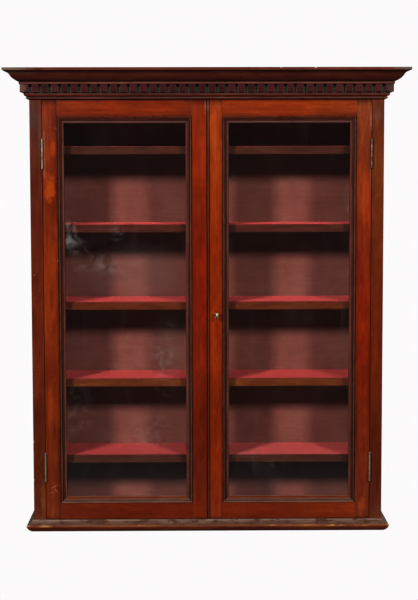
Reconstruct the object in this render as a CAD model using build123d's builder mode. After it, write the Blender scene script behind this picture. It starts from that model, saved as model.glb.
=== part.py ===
"""Wall-mounted glazed showcase: a mahogany hanging display case with two doors and five shelves.

Millimetres, +Z up. The back of the case lies in the plane Y = 0 and the doors face -Y.
The origin is the centre of the four wall fixing holes.
"""
import os

from build123d import *

os.makedirs("parts", exist_ok=True)

# ---------------------------------------------------------------- driving dimensions
CASE_WIDTH = 914.4            # 36 in over the sides
CASE_HEIGHT = 1206.5          # 47 1/2 in overall
CASE_DEPTH = 240.0            # back plane to the door faces
BOARD = 20.0                  # thickness of sides, top, bottom and shelves
DADO = 6.0                    # how far boards are housed in the sides
FACE = 22.0                   # thickness of pilasters, rails and doors
PILASTER_WIDTH = 31.0
PILASTER_ROUND = 1.0          # eased outer corners
SHELF_PITCH = 203.2           # 8 in
SHELF_COUNT = 5
MIDDLE_SHELF_TOP = -2.0
SHELF_SETBACK = 36.0          # door face to shelf front edge
CLOTH = 1.5                   # baize lining

BACK_BOARD = 10.0             # thickness of the tongued back boards
BACK_BOARD_COUNT = 4
REBATE = 10.0                 # width of the rebate in the sides for the back
RAIL_THICK = 18.0             # hanging rails behind the back boards
RAIL_HEIGHT = 60.0
FIXING_X = 350.0              # wall fixing holes, half spacing
FIXING_Z = 525.0
FIXING_R = 3.0

DOOR_TOP = 523.8
DOOR_BOTTOM = -571.5
HINGE_GAP = 1.5               # door edge to pilaster
MEETING_GAP = 2.0             # between the doors, behind their front edges
LIP_GAP = 0.8                 # between their front edges, which stand closer
LIP_DEPTH = 5.0
STILE = 38.0                  # flat width of the door stiles
RAIL = 42.0                   # flat width of the door rails
TENON_LENGTH = 26.0
TENON_THICK = 7.0
MOULD_WIDTH = 17.0            # glazing moulding
MOULD_DEPTH = 12.0
GLASS = 3.0
GLASS_EDGE = 1.0              # clearance of the pane in its rebate
BEAD_WIDTH = 12.0             # glazing beads behind the glass
MITRE_GAP = 0.2               # glue line in the mitres

HINGE_LENGTH = 76.2           # 3 in butts
HINGE_INSET = 100.0           # from the door's top and bottom edges
KNUCKLE_R = 3.25
KNUCKLE_COUNT = 5
KNUCKLE_GAP = 0.3
KNUCKLE_PROUD = 3.0           # pin centre in front of the door face
LEAF_THICK = 2.2
LEAF_WIDTH = 18.0
PIN_R = 1.5
PIN_FIT = 0.05

CORNICE_PROUD = 62.0
CORNICE_FILLET = 6.5          # height of the top fillet
CROWN_FOOT = 563.5            # underside of the crown
DENTIL_PROUD = 21.5
DENTIL_DEPTH = 8.5
DENTIL_GAP = 8.2
DENTIL_COUNT = 36             # between the two corner dentils
DENTIL_RUN = 905.4            # first gap centre to last gap centre
DENTIL_FOOT = 543.5
BED_FOOT = 525.0
BASE_TOP = -572.5
BASE_PROUD = 18.5

KEY_X = 24.0                  # key axis on the right door
KEY_Z = -32.0
LOCK_TRAVEL = 6.5

BOLT_X = -20.0                # barrel bolts on the left door's meeting stile
BOLT_R = 3.0
BOLT_TRAVEL = 12.0
STOP_DEPTH = 13.0             # door stop strips
STOP_LAP = 12.5               # how far the stops lap the doors

# ---------------------------------------------------------------- derived dimensions
HALF = CASE_WIDTH / 2
INNER = HALF - BOARD
HOUSED = INNER + DADO
TOP = CASE_HEIGHT / 2
BOTTOM = -CASE_HEIGHT / 2
FRONT = -CASE_DEPTH
FACE_BACK = FRONT + FACE
BACK_FRONT = -(RAIL_THICK + BACK_BOARD)
LINING_FRONT = BACK_FRONT - CLOTH
SHELF_FRONT = FRONT + SHELF_SETBACK
OPENING = HALF - PILASTER_WIDTH
FLOOR = BOTTOM + BOARD
CEILING = TOP - BOARD
BACK_HALF = INNER + REBATE
SHELF_TOPS = [MIDDLE_SHELF_TOP + SHELF_PITCH * (2 - i) for i in range(SHELF_COUNT)]

DOOR_OUTER = OPENING - HINGE_GAP
DOOR_INNER = MEETING_GAP / 2
GLAZE_OUTER = DOOR_OUTER - STILE
GLAZE_INNER = DOOR_INNER + STILE
GLAZE_TOP = DOOR_TOP - RAIL
GLAZE_BOTTOM = DOOR_BOTTOM + RAIL
GLASS_FRONT = FRONT + MOULD_DEPTH
GLASS_BACK = GLASS_FRONT + GLASS
TENON_Y = FRONT + FACE / 2

PIN_X = OPENING - HINGE_GAP / 2
PIN_Y = FRONT - KNUCKLE_PROUD
KNUCKLE = HINGE_LENGTH / KNUCKLE_COUNT
HINGE_FEET = (DOOR_BOTTOM + HINGE_INSET, DOOR_TOP - HINGE_INSET - HINGE_LENGTH)

LEFT, RIGHT = -1, 1


def export(piece, name):
    """Label a finished piece and write it as one STEP file."""
    piece.label = name
    export_step(piece, f"parts/{name}.step")


def span(a, b):
    """Centre and length of an interval."""
    return (a + b) / 2, abs(b - a)


def block(x, y, z, mode=Mode.ADD):
    """A rectangular block between the given limits, in the current part."""
    cx, lx = span(*x)
    cy, ly = span(*y)
    cz, lz = span(*z)
    with Locations((cx, cy, cz)):
        Box(lx, ly, lz, mode=mode)


def mirrored(side, near, far):
    """Limits along X on the given side of the case."""
    return tuple(sorted((side * near, side * far)))


# ---------------------------------------------------------------- screws
def screw_space(length, shank_r, head_r):
    """The countersunk space of one screw, with its mouth at the origin, pointing down -Z."""
    head = head_r - shank_r
    with BuildPart() as space:
        with BuildSketch(Plane.XZ):
            with BuildLine():
                Polyline(
                    (0, 0),
                    (head_r, 0),
                    (shank_r, -head),
                    (shank_r, -length + 2 * shank_r),
                    (0, -length),
                    close=True,
                )
            make_face()
        revolve(axis=Axis.Z)
    return space.part


def wood_screw(length, shank_r, head_r):
    """The screw that fills such a space, with a slot across its head."""
    slot = head_r / 4
    with BuildPart() as screw:
        add(screw_space(length, shank_r, head_r))
        with Locations((0, 0, -slot / 2)):
            Box(2 * head_r, slot, slot, mode=Mode.SUBTRACT)
    return screw.part


# (length, shank radius, head radius)
HINGE_SCREW = (18.0, 1.7, 3.4)
BACK_SCREW = (48.0, 2.0, 4.2)
BOLT_SCREW = (9.0, 1.2, 2.4)

HINGE_SCREW_Y = FRONT + 11.0
HINGE_SCREW_STEP = 25.0
BACK_SCREW_X = INNER + REBATE / 2
BACK_SCREW_STEP = 36.0

INTO_RIGHT = (0, -90, 0)
INTO_LEFT = (0, 90, 0)
INTO_FRONT = (-90, 0, 0)


def hinge_screw_places(x):
    """Where the screws enter one hinge leaf of each butt on a side."""
    return [
        (x, HINGE_SCREW_Y, foot + HINGE_LENGTH / 2 + step * HINGE_SCREW_STEP)
        for foot in HINGE_FEET
        for step in (-1, 0, 1)
    ]


def back_screw_places(z_centre):
    """Where the screws enter one hanging rail."""
    return [
        (side * BACK_SCREW_X, 0, z_centre + step * BACK_SCREW_STEP / 2)
        for side in (LEFT, RIGHT)
        for step in (-1, 1)
    ]


# ---------------------------------------------------------------- carcass
def make_side(side):
    """A side board, housed for the shelves, top and bottom, and rebated for the back."""
    inner = mirrored(side, INNER, HOUSED)
    with BuildPart() as panel:
        block(mirrored(side, INNER, HALF), (FACE_BACK, 0), (BOTTOM, TOP))
        block(mirrored(side, INNER, BACK_HALF), (BACK_FRONT, 0), (BOTTOM, TOP), Mode.SUBTRACT)
        block(inner, (FACE_BACK, BACK_FRONT), (BOTTOM, FLOOR), Mode.SUBTRACT)
        block(inner, (FACE_BACK, BACK_FRONT), (CEILING, TOP), Mode.SUBTRACT)
        for top in SHELF_TOPS:
            block(inner, (SHELF_FRONT, BACK_FRONT), (top - BOARD, top), Mode.SUBTRACT)
        for z in (-FIXING_Z, FIXING_Z):
            with Locations(*[p for p in back_screw_places(z) if p[0] * side > 0]):
                add(screw_space(*BACK_SCREW), rotation=INTO_FRONT, mode=Mode.SUBTRACT)
    return panel.part


export(make_side(LEFT), "side_panel_left")
export(make_side(RIGHT), "side_panel_right")

with BuildPart() as top_board:
    block((-HOUSED, HOUSED), (FACE_BACK, BACK_FRONT), (CEILING, TOP))
export(top_board.part, "top_board")

with BuildPart() as bottom_board:
    block((-HOUSED, HOUSED), (FACE_BACK, BACK_FRONT), (BOTTOM, FLOOR))
export(bottom_board.part, "bottom_board")

SHELF_ROUND = 1.2             # eased front edges of the shelves
for number, shelf_top in enumerate(SHELF_TOPS, start=1):
    with BuildPart() as shelf:
        block((-HOUSED, HOUSED), (SHELF_FRONT, LINING_FRONT), (shelf_top - BOARD, shelf_top))
        fillet(shelf.edges().filter_by(Axis.X).group_by(Axis.Y)[0], SHELF_ROUND)
    export(shelf.part, f"shelf_{number}")


# ---------------------------------------------------------------- pilasters and front rails
def make_pilaster(side):
    """A front post, let in for the two butt hinge leaves."""
    leaf_x = mirrored(side, OPENING, OPENING + LEAF_THICK)
    outside = side * HALF
    with BuildPart() as post:
        block(mirrored(side, OPENING, HALF), (FRONT, FACE_BACK), (BOTTOM, TOP))
        corner = post.edges().filter_by(Axis.Z).sort_by_distance((outside, FRONT, 0))[0]
        fillet(corner, PILASTER_ROUND)
        for foot in HINGE_FEET:
            block(leaf_x, (FRONT, FRONT + LEAF_WIDTH), (foot, foot + HINGE_LENGTH), Mode.SUBTRACT)
        rotation = INTO_RIGHT if side == RIGHT else INTO_LEFT
        with Locations(*hinge_screw_places(side * OPENING)):
            add(screw_space(*HINGE_SCREW), rotation=rotation, mode=Mode.SUBTRACT)
    return post.part


export(make_pilaster(LEFT), "pilaster_left")
export(make_pilaster(RIGHT), "pilaster_right")

with BuildPart() as frieze_rail:
    block((-OPENING, OPENING), (FRONT, FACE_BACK), (BED_FOOT, TOP))
export(frieze_rail.part, "frieze_rail")

with BuildPart() as plinth_rail:
    block((-OPENING, OPENING), (FRONT, FACE_BACK), (BOTTOM, BASE_TOP))
export(plinth_rail.part, "plinth_rail")

# ---------------------------------------------------------------- door stops
STOP_PLAY = 0.3               # between the doors' backs and the stops
STOP_ABOVE = 1.2              # between the doors' tops and the upper stop
STOP_FRONT = FACE_BACK + STOP_PLAY
STOP_BACK = STOP_FRONT + STOP_DEPTH
STOP_UPPER = (DOOR_TOP - STOP_LAP, DOOR_TOP + STOP_LAP)
STOP_LOWER = (FLOOR, DOOR_BOTTOM + STOP_LAP)
BOLT_Y = FACE_BACK + 6.0      # axis of the barrel bolts
BOLT_HOLE_R = BOLT_R + 0.4
BOLT_HOLE_DEPTH = 11.5

with BuildPart() as door_stops:
    block((-INNER, INNER), (FACE_BACK, STOP_BACK), (DOOR_TOP + STOP_ABOVE, STOP_UPPER[1]))
    block((-INNER, INNER), (STOP_FRONT, STOP_BACK), STOP_UPPER)
    block((-INNER, INNER), (STOP_FRONT, STOP_BACK), STOP_LOWER)
    with Locations((BOLT_X, BOLT_Y, STOP_UPPER[0] + BOLT_HOLE_DEPTH / 2)):
        Cylinder(BOLT_HOLE_R, BOLT_HOLE_DEPTH, mode=Mode.SUBTRACT)
    with Locations((BOLT_X, BOLT_Y, STOP_LOWER[1] - BOLT_HOLE_DEPTH / 2)):
        Cylinder(BOLT_HOLE_R, BOLT_HOLE_DEPTH, mode=Mode.SUBTRACT)
export(door_stops.part, "door_stops")

# ---------------------------------------------------------------- back
TONGUE = 6.0
TONGUE_THICK = 3.0
TONGUE_PLAY = 0.3
BOARD_PITCH = 2 * BACK_HALF / BACK_BOARD_COUNT
BACK_MIDDLE = BACK_FRONT + BACK_BOARD / 2


def fixing_holes(depth_centre, length):
    """Bore the four wall fixing holes through the current part."""
    with Locations((0, depth_centre, 0)):
        with GridLocations(2 * FIXING_X, 0, 2, 1):
            with Locations((0, 0, -FIXING_Z), (0, 0, FIXING_Z)):
                Cylinder(FIXING_R, length, rotation=(90, 0, 0), mode=Mode.SUBTRACT)


with BuildPart() as back_boards:
    for i in range(BACK_BOARD_COUNT):
        left = -BACK_HALF + i * BOARD_PITCH
        right = left + BOARD_PITCH
        first = i == 0
        last = i == BACK_BOARD_COUNT - 1
        lean = 0 if last else TONGUE_PLAY
        block((left, right - lean), (BACK_FRONT, -RAIL_THICK), (BOTTOM, TOP))
        if not first:
            tongue_y = (BACK_MIDDLE - TONGUE_THICK / 2, BACK_MIDDLE + TONGUE_THICK / 2)
            block((left - TONGUE, left), tongue_y, (BOTTOM, TOP))
            groove = (left - TONGUE - 2 * TONGUE_PLAY, left - TONGUE_PLAY)
            wide = (tongue_y[0] - TONGUE_PLAY, tongue_y[1] + TONGUE_PLAY)
            block(groove, (wide[0], tongue_y[0]), (BOTTOM, TOP), Mode.SUBTRACT)
            block(groove, (tongue_y[1], wide[1]), (BOTTOM, TOP), Mode.SUBTRACT)
            block((groove[0], left - TONGUE), tongue_y, (BOTTOM, TOP), Mode.SUBTRACT)
    fixing_holes(BACK_MIDDLE, BACK_BOARD)
    for z in (-FIXING_Z, FIXING_Z):
        with Locations(*back_screw_places(z)):
            add(screw_space(*BACK_SCREW), rotation=INTO_FRONT, mode=Mode.SUBTRACT)
export(back_boards.part, "back_boards")

for name, z in (("hanging_rail_top", FIXING_Z), ("hanging_rail_bottom", -FIXING_Z)):
    with BuildPart() as hanging_rail:
        edges_z = (z - RAIL_HEIGHT / 2, z + RAIL_HEIGHT / 2)
        block((-BACK_HALF, BACK_HALF), (-RAIL_THICK, 0), edges_z)
        fixing_holes(-RAIL_THICK / 2, RAIL_THICK)
        with Locations(*back_screw_places(z)):
            add(screw_space(*BACK_SCREW), rotation=INTO_FRONT, mode=Mode.SUBTRACT)
    export(hanging_rail.part, name)

# ---------------------------------------------------------------- cloth linings
with BuildPart() as back_lining:
    block((-INNER, INNER), (LINING_FRONT, BACK_FRONT), (FLOOR, CEILING))
    fixing_holes((LINING_FRONT + BACK_FRONT) / 2, CLOTH)
export(back_lining.part, "back_lining")

EDGE_MARGIN = 3.0             # bare wood in front of the shelf cloth
for number, shelf_top in enumerate(SHELF_TOPS, start=1):
    with BuildPart() as shelf_lining:
        cloth_y = (SHELF_FRONT + EDGE_MARGIN, LINING_FRONT)
        block((-INNER, INNER), cloth_y, (shelf_top, shelf_top + CLOTH))
    export(shelf_lining.part, f"shelf_lining_{number}")

with BuildPart() as floor_lining:
    block((-INNER, INNER), (STOP_BACK, LINING_FRONT), (FLOOR, FLOOR + CLOTH))
export(floor_lining.part, "floor_lining")

# ---------------------------------------------------------------- cornice and base mouldings
# Profiles are drawn as (projection from the case, height).
CYMA_FOOT = (24.8, 570.0)
CYMA_MIDDLE = (44.0, 584.0)
CYMA_TOP = (58.0, TOP - CORNICE_FILLET)
CYMA_SWELL = 1.9              # rise of each arc of the cyma over its chord


def bulged(start, end, rise):
    """Middle point of an arc that rises to the right of its chord."""
    (px, pz), (qx, qz) = start, end
    length = ((qx - px) ** 2 + (qz - pz) ** 2) ** 0.5
    return (px + qx) / 2 + rise * (qz - pz) / length, (pz + qz) / 2 - rise * (qx - px) / length


def crown_outline():
    """A small fillet, a cyma recta and the top fillet."""
    with BuildSketch(mode=Mode.PRIVATE) as outline:
        with BuildLine():
            Polyline(
                (CYMA_TOP[0], CYMA_TOP[1]),
                (CORNICE_PROUD, CYMA_TOP[1]),
                (CORNICE_PROUD, TOP),
                (0, TOP),
                (0, CROWN_FOOT),
                (23.8, CROWN_FOOT),
                (23.8, CYMA_FOOT[1]),
                CYMA_FOOT,
            )
            lower = bulged(CYMA_FOOT, CYMA_MIDDLE, CYMA_SWELL)
            upper = bulged(CYMA_MIDDLE, CYMA_TOP, -CYMA_SWELL)
            ThreePointArc(CYMA_FOOT, lower, CYMA_MIDDLE)
            ThreePointArc(CYMA_MIDDLE, upper, CYMA_TOP)
        make_face()
    return outline.sketch


def bed_outline():
    """A fillet with a quarter round over a small bead."""
    with BuildSketch(mode=Mode.PRIVATE) as outline:
        with BuildLine():
            Polyline((0, BED_FOOT), (0, DENTIL_FOOT), (12.6, DENTIL_FOOT), (12.6, 538.0))
            ThreePointArc((12.6, 538.0), (11.4, 534.6), (8.0, 533.2))
            Polyline((8.0, 533.2), (5.0, 533.2), (5.0, 531.8))
            ThreePointArc((5.0, 531.8), (7.6, 529.1), (5.0, 526.4))
            Polyline((5.0, 526.4), (3.0, BED_FOOT), (0, BED_FOOT))
        make_face()
    return outline.sketch


def base_outline():
    """A top arris and hollow above a rounded nosing, undercut to the foot."""
    with BuildSketch(mode=Mode.PRIVATE) as outline:
        with BuildLine():
            Polyline((5.0, BOTTOM), (0, BOTTOM), (0, BASE_TOP), (3.6, BASE_TOP), (4.6, -574.2))
            ThreePointArc((4.6, -574.2), (8.4, -580.6), (15.2, -583.6))
            Line((15.2, -583.6), (16.4, -584.6))
            ThreePointArc((16.4, -584.6), (18.2, -586.2), (BASE_PROUD, -588.4))
            ThreePointArc((BASE_PROUD, -588.4), (14.0, -596.6), (5.0, BOTTOM))
        make_face()
    return outline.sketch


FRONT_PLANE = Plane(origin=(0, FRONT, 0), x_dir=(0, -1, 0), z_dir=(-1, 0, 0))
MITRE_REACH = 80.0            # the mitre planes run past every moulding


def wedge(corners):
    """A prism through the whole height of the case, over the given plan."""
    with BuildPart() as prism:
        with BuildSketch(Plane.XY.offset(BOTTOM)):
            with BuildLine():
                Polyline(*corners, close=True)
            make_face()
        extrude(amount=CASE_HEIGHT)
    return prism.part


def front_wedge():
    """The space between the two mitres, in front of the case."""
    reach = MITRE_REACH
    half = HALF - MITRE_GAP / 2
    return wedge(
        [
            (-half, FRONT),
            (half, FRONT),
            (half + reach, FRONT - reach),
            (-half - reach, FRONT - reach),
        ]
    )


def return_wedge(side):
    """The space beside the case, behind one mitre."""
    reach = MITRE_REACH
    front = FRONT + MITRE_GAP / 2
    return wedge(
        [
            (side * HALF, front),
            (side * HALF, 0),
            (side * (HALF + reach), 0),
            (side * (HALF + reach), front - reach),
        ]
    )


def return_plane(side):
    """Plane of a side moulding's profile, with projection along its X."""
    return Plane(origin=(side * HALF, 0, 0), x_dir=(side, 0, 0), z_dir=(0, -side, 0))


def make_front_moulding(outline):
    """A moulding across the front, mitred at both ends."""
    with BuildPart() as moulding:
        with BuildSketch(FRONT_PLANE):
            add(outline)
        extrude(amount=HALF + MITRE_REACH, both=True)
        add(front_wedge(), mode=Mode.INTERSECT)
    return moulding.part


def make_return(outline, side):
    """A moulding along one side, mitred at the front."""
    length = CASE_DEPTH + MITRE_REACH
    with BuildPart() as moulding:
        with BuildSketch(return_plane(side)):
            add(outline)
        extrude(amount=side * length)
        add(return_wedge(side), mode=Mode.INTERSECT)
    return moulding.part


def both_returns(outline):
    """The left and right returns of one moulding."""
    with BuildPart() as pair:
        add(make_return(outline, LEFT))
        add(make_return(outline, RIGHT))
    return pair.part


export(make_front_moulding(crown_outline()), "crown_front")
export(both_returns(crown_outline()), "crown_returns")
export(make_front_moulding(base_outline()), "base_moulding_front")
export(both_returns(base_outline()), "base_moulding_returns")

with BuildPart() as bed_moulding:
    add(make_front_moulding(bed_outline()))
    add(both_returns(bed_outline()))
export(bed_moulding.part, "bed_moulding")

DENTIL_PITCH = DENTIL_RUN / DENTIL_COUNT
DENTIL_WIDTH = DENTIL_PITCH - DENTIL_GAP
DENTIL_HEIGHT = CROWN_FOOT - DENTIL_FOOT
DENTIL_MIDDLE = (CROWN_FOOT + DENTIL_FOOT) / 2
DENTIL_BACK = DENTIL_PROUD - DENTIL_DEPTH
CORNER_DENTIL = HALF + DENTIL_PROUD - DENTIL_RUN / 2 - DENTIL_GAP / 2
SIDE_DENTILS = 9
DENTIL_LAYER = (DENTIL_FOOT, CROWN_FOOT)

with BuildPart() as dentil_front:
    reach_x = HALF + DENTIL_PROUD
    block((-reach_x, reach_x), (FRONT - DENTIL_BACK, FRONT), DENTIL_LAYER)
    tooth_y = (FRONT - DENTIL_PROUD, FRONT - DENTIL_BACK)
    with Locations((0, sum(tooth_y) / 2, DENTIL_MIDDLE)):
        with GridLocations(DENTIL_PITCH, 1, DENTIL_COUNT, 1):
            Box(DENTIL_WIDTH, DENTIL_DEPTH, DENTIL_HEIGHT)
    block((-reach_x, -reach_x + CORNER_DENTIL), tooth_y, DENTIL_LAYER)
    block((reach_x - CORNER_DENTIL, reach_x), tooth_y, DENTIL_LAYER)
    add(front_wedge(), mode=Mode.INTERSECT)


def make_dentil_return(side):
    """The dentils along one side, from the corner dentil to the wall."""
    front = FRONT - DENTIL_PROUD
    tooth_x = mirrored(side, HALF + DENTIL_BACK, HALF + DENTIL_PROUD)
    with BuildPart() as band:
        block(mirrored(side, HALF, HALF + DENTIL_BACK), (front, 0), DENTIL_LAYER)
        block(tooth_x, (front, front + CORNER_DENTIL), DENTIL_LAYER)
        for i in range(SIDE_DENTILS):
            start = front + CORNER_DENTIL + DENTIL_GAP + i * DENTIL_PITCH
            block(tooth_x, (start, min(start + DENTIL_WIDTH, 0)), DENTIL_LAYER)
        add(return_wedge(side), mode=Mode.INTERSECT)
    return band.part


with BuildPart() as dentil_band:
    add(dentil_front.part)
    add(make_dentil_return(LEFT))
    add(make_dentil_return(RIGHT))
export(dentil_band.part, "dentil_band")

# ---------------------------------------------------------------- hinges
FRAME_KNUCKLES = (0, 2, 4)
DOOR_KNUCKLES = (1, 3)
NECK_CLEAR = 0.6              # plates start this far behind the faces between their knuckles


def leaf(side, foot, knuckles, plate_near, plate_far):
    """One leaf of a butt hinge: its plate, and the knuckles that it carries."""
    plate_x = mirrored(side, plate_near, plate_far)
    pin = (side * PIN_X, PIN_Y)
    with BuildPart() as one_leaf:
        block(plate_x, (FRONT + NECK_CLEAR, FRONT + LEAF_WIDTH), (foot, foot + HINGE_LENGTH))
        for k in knuckles:
            low = foot + k * KNUCKLE + KNUCKLE_GAP / 2
            high = foot + (k + 1) * KNUCKLE - KNUCKLE_GAP / 2
            block(plate_x, (PIN_Y, FRONT + NECK_CLEAR), (low, high))
            with Locations((*pin, (low + high) / 2)):
                Cylinder(KNUCKLE_R, high - low)
        with Locations((*pin, foot + HINGE_LENGTH / 2)):
            Cylinder(PIN_R + PIN_FIT, HINGE_LENGTH, mode=Mode.SUBTRACT)
    return one_leaf.part


def make_leaves(side, knuckles, plate_near, plate_far, screw_rotation):
    """The upper and lower leaves on one side, countersunk for their screws."""
    with BuildPart() as leaves:
        for foot in HINGE_FEET:
            add(leaf(side, foot, knuckles, plate_near, plate_far))
        with Locations(*hinge_screw_places(side * plate_near)):
            add(screw_space(*HINGE_SCREW), rotation=screw_rotation, mode=Mode.SUBTRACT)
    return leaves.part


with BuildPart() as hinge_frame_leaves:
    add(make_leaves(LEFT, FRAME_KNUCKLES, OPENING, OPENING + LEAF_THICK, INTO_LEFT))
    add(make_leaves(RIGHT, FRAME_KNUCKLES, OPENING, OPENING + LEAF_THICK, INTO_RIGHT))
export(hinge_frame_leaves.part, "hinge_frame_leaves")

PIN_CAP = 1.2                 # domed ends of the hinge pins
with BuildPart() as hinge_pins:
    for side in (LEFT, RIGHT):
        for foot in HINGE_FEET:
            with Locations((side * PIN_X, PIN_Y, foot + HINGE_LENGTH / 2)):
                Cylinder(PIN_R, HINGE_LENGTH)
            for z, up in ((foot, 180), (foot + HINGE_LENGTH, 0)):
                with Locations((side * PIN_X, PIN_Y, z)):
                    Cone(
                        KNUCKLE_R,
                        KNUCKLE_R - PIN_CAP,
                        PIN_CAP,
                        rotation=(up, 0, 0),
                        align=(Align.CENTER, Align.CENTER, Align.MIN),
                    )
export(hinge_pins.part, "hinge_pins")

with BuildPart() as case_screws:
    with Locations(*hinge_screw_places(-OPENING)):
        add(wood_screw(*HINGE_SCREW), rotation=INTO_LEFT)
    with Locations(*hinge_screw_places(OPENING)):
        add(wood_screw(*HINGE_SCREW), rotation=INTO_RIGHT)
    for z in (-FIXING_Z, FIXING_Z):
        with Locations(*back_screw_places(z)):
            add(wood_screw(*BACK_SCREW), rotation=INTO_FRONT)
export(case_screws.part, "case_screws")

# ---------------------------------------------------------------- lock dimensions
LOCK_HIGH = 22.0              # lock case above and below the key axis
LOCK_LOW = 28.0
LOCK_DEPTH = 9.6
LOCK_WIDTH = 36.2
LOCK_FAR = DOOR_INNER + LOCK_WIDTH
LOCK_WALL = 1.2
LOCK_FRONT = FACE_BACK - LOCK_DEPTH
LOCK_PLATE = 1.5              # front plate, selvedge and cover
POCKET_FRONT = LOCK_FRONT + LOCK_PLATE
POCKET_BACK = FACE_BACK - LOCK_PLATE
BOLT_PLAY = 0.3
LOCK_BOLT_Y = (POCKET_FRONT + BOLT_PLAY, POCKET_BACK - BOLT_PLAY)
LOCK_BOLT_Z = (KEY_Z - 11.0, KEY_Z + 8.0)
LOCK_BOLT_X = (DOOR_INNER, KEY_X + 11.0)
WINDOW_X = (KEY_X - 3.0, KEY_X + 9.5)
WINDOW_Z = (KEY_Z - 8.0, KEY_Z + 4.0)
GUIDE = 3.0
GUIDE_PLAY = 0.15
SHANK_R = 2.5
LOCATING_R = 1.6              # hole in the cover, in line with the key's end
BIT_REACH = 7.0
BIT_THICK = 3.0
KEYHOLE_R = 3.2
KEYHOLE_SLOT = 3.8
KEYHOLE_DROP = 8.6
ESCUTCHEON_RIM = 2.6
ESCUTCHEON_THICK = 2.4
ESCUTCHEON_PROUD = 0.4
STRIKE_DEPTH = 9.0
STRIKE_PLAY = 0.8


def keyhole(rim, mode=Mode.ADD):
    """A round hole with a slot below it, in the current sketch."""
    slot_width = KEYHOLE_SLOT + 2 * rim
    drop = KEYHOLE_DROP + rim
    with Locations((KEY_X, KEY_Z)):
        Circle(KEYHOLE_R + rim, mode=mode)
    with Locations((KEY_X, KEY_Z - (drop - slot_width / 2) / 2)):
        Rectangle(slot_width, drop - slot_width / 2, mode=mode)
    with Locations((KEY_X, KEY_Z - drop + slot_width / 2)):
        Circle(slot_width / 2, mode=mode)


def facing_front(y):
    """A plane at the given depth that faces the front, with X along X and Y up."""
    return Plane(origin=(0, y, 0), x_dir=(1, 0, 0), z_dir=(0, -1, 0))


# ---------------------------------------------------------------- door frames
STILE_Z = (DOOR_BOTTOM, DOOR_TOP)
TENON_ROOM = 8.0              # shoulder of the tenons at the door's outer edges
TENON_SHOULDER = 4.0          # and at the glazing edges
TENON_UPPER = (GLAZE_TOP + TENON_SHOULDER, DOOR_TOP - TENON_ROOM)
TENON_LOWER = (DOOR_BOTTOM + TENON_ROOM, GLAZE_BOTTOM - TENON_SHOULDER)
TENON_DEPTH = (TENON_Y - TENON_THICK / 2, TENON_Y + TENON_THICK / 2)
TENON_END = 0.5               # mortises run a little deeper than the tenons
MEETING_BEAD = 5.0            # bead worked on the right door's meeting edge
BEAD_QUIRK = 1.2
BEAD_ROUND = 2.0
QUIRK_DEPTH = 2.3


def cut_mortises(side, edge, inward):
    """Mortises for both rails, from a stile's inner edge."""
    depth = TENON_LENGTH + TENON_END
    for tenon in (TENON_UPPER, TENON_LOWER):
        block(mirrored(side, edge, edge + inward * depth), TENON_DEPTH, tenon, Mode.SUBTRACT)


def make_hinge_stile(side):
    """The stile that carries the hinges."""
    leaf_x = mirrored(side, DOOR_OUTER - LEAF_THICK, DOOR_OUTER)
    with BuildPart() as stile:
        block(mirrored(side, GLAZE_OUTER, DOOR_OUTER), (FRONT, FACE_BACK), STILE_Z)
        cut_mortises(side, GLAZE_OUTER, 1)
        for foot in HINGE_FEET:
            block(leaf_x, (FRONT, FRONT + LEAF_WIDTH), (foot, foot + HINGE_LENGTH), Mode.SUBTRACT)
        rotation = INTO_LEFT if side == RIGHT else INTO_RIGHT
        with Locations(*hinge_screw_places(side * DOOR_OUTER)):
            add(screw_space(*HINGE_SCREW), rotation=rotation, mode=Mode.SUBTRACT)
    return stile.part


def make_rail(side, rail_z, tenon):
    """A door rail with a tenon at each end."""
    tenon_x = mirrored(side, GLAZE_INNER - TENON_LENGTH, GLAZE_OUTER + TENON_LENGTH)
    with BuildPart() as rail:
        block(mirrored(side, GLAZE_INNER, GLAZE_OUTER), (FRONT, FACE_BACK), rail_z)
        block(tenon_x, TENON_DEPTH, tenon)
    return rail.part


BOLT_PLATE = 2.0
BOLT_PLATE_WIDTH = 26.0
BOLT_PLATE_HEIGHT = 56.0
BOLT_SCREW_X = 9.5
BOLT_SCREW_Z = 22.0
BOLT_INSET = 36.0             # middle of each bolt's plate from its door stop
BOLT_UPPER_Z = STOP_UPPER[0] - BOLT_INSET
BOLT_LOWER_Z = STOP_LOWER[1] + BOLT_INSET
BOLT_LENGTH = 66.0
STAPLE_R = 4.8
STAPLE_LENGTH = 9.0
STAPLE_OFFSET = 20.0
KNOB_R = 3.0
KNOB_REACH = 8.0
KNOB_INSET = 43.0             # knob from the bolt's working end
BOLT_ROUND = 1.0


def barrel_bolt_screws(z):
    """Corner screws of one barrel bolt's plate."""
    return [
        (BOLT_X + dx * BOLT_SCREW_X, FACE_BACK + BOLT_PLATE, z + dz * BOLT_SCREW_Z)
        for dx in (-1, 1)
        for dz in (-1, 1)
    ]


with BuildPart() as left_meeting_stile:
    block((-GLAZE_INNER, -DOOR_INNER), (FRONT, FACE_BACK), STILE_Z)
    block((-GLAZE_INNER, -LIP_GAP / 2), (FRONT, FRONT + LIP_DEPTH), STILE_Z)
    cut_mortises(LEFT, GLAZE_INNER, -1)
    strike_y = (LOCK_BOLT_Y[0] - STRIKE_PLAY, LOCK_BOLT_Y[1] + STRIKE_PLAY)
    strike_z = (LOCK_BOLT_Z[0] - STRIKE_PLAY, LOCK_BOLT_Z[1] + STRIKE_PLAY)
    block((-DOOR_INNER - STRIKE_DEPTH, -DOOR_INNER), strike_y, strike_z, Mode.SUBTRACT)
    for bolt_z in (BOLT_UPPER_Z, BOLT_LOWER_Z):
        with Locations(*barrel_bolt_screws(bolt_z)):
            add(screw_space(*BOLT_SCREW), rotation=INTO_FRONT, mode=Mode.SUBTRACT)
export(left_meeting_stile.part, "left_door_meeting_stile")

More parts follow.
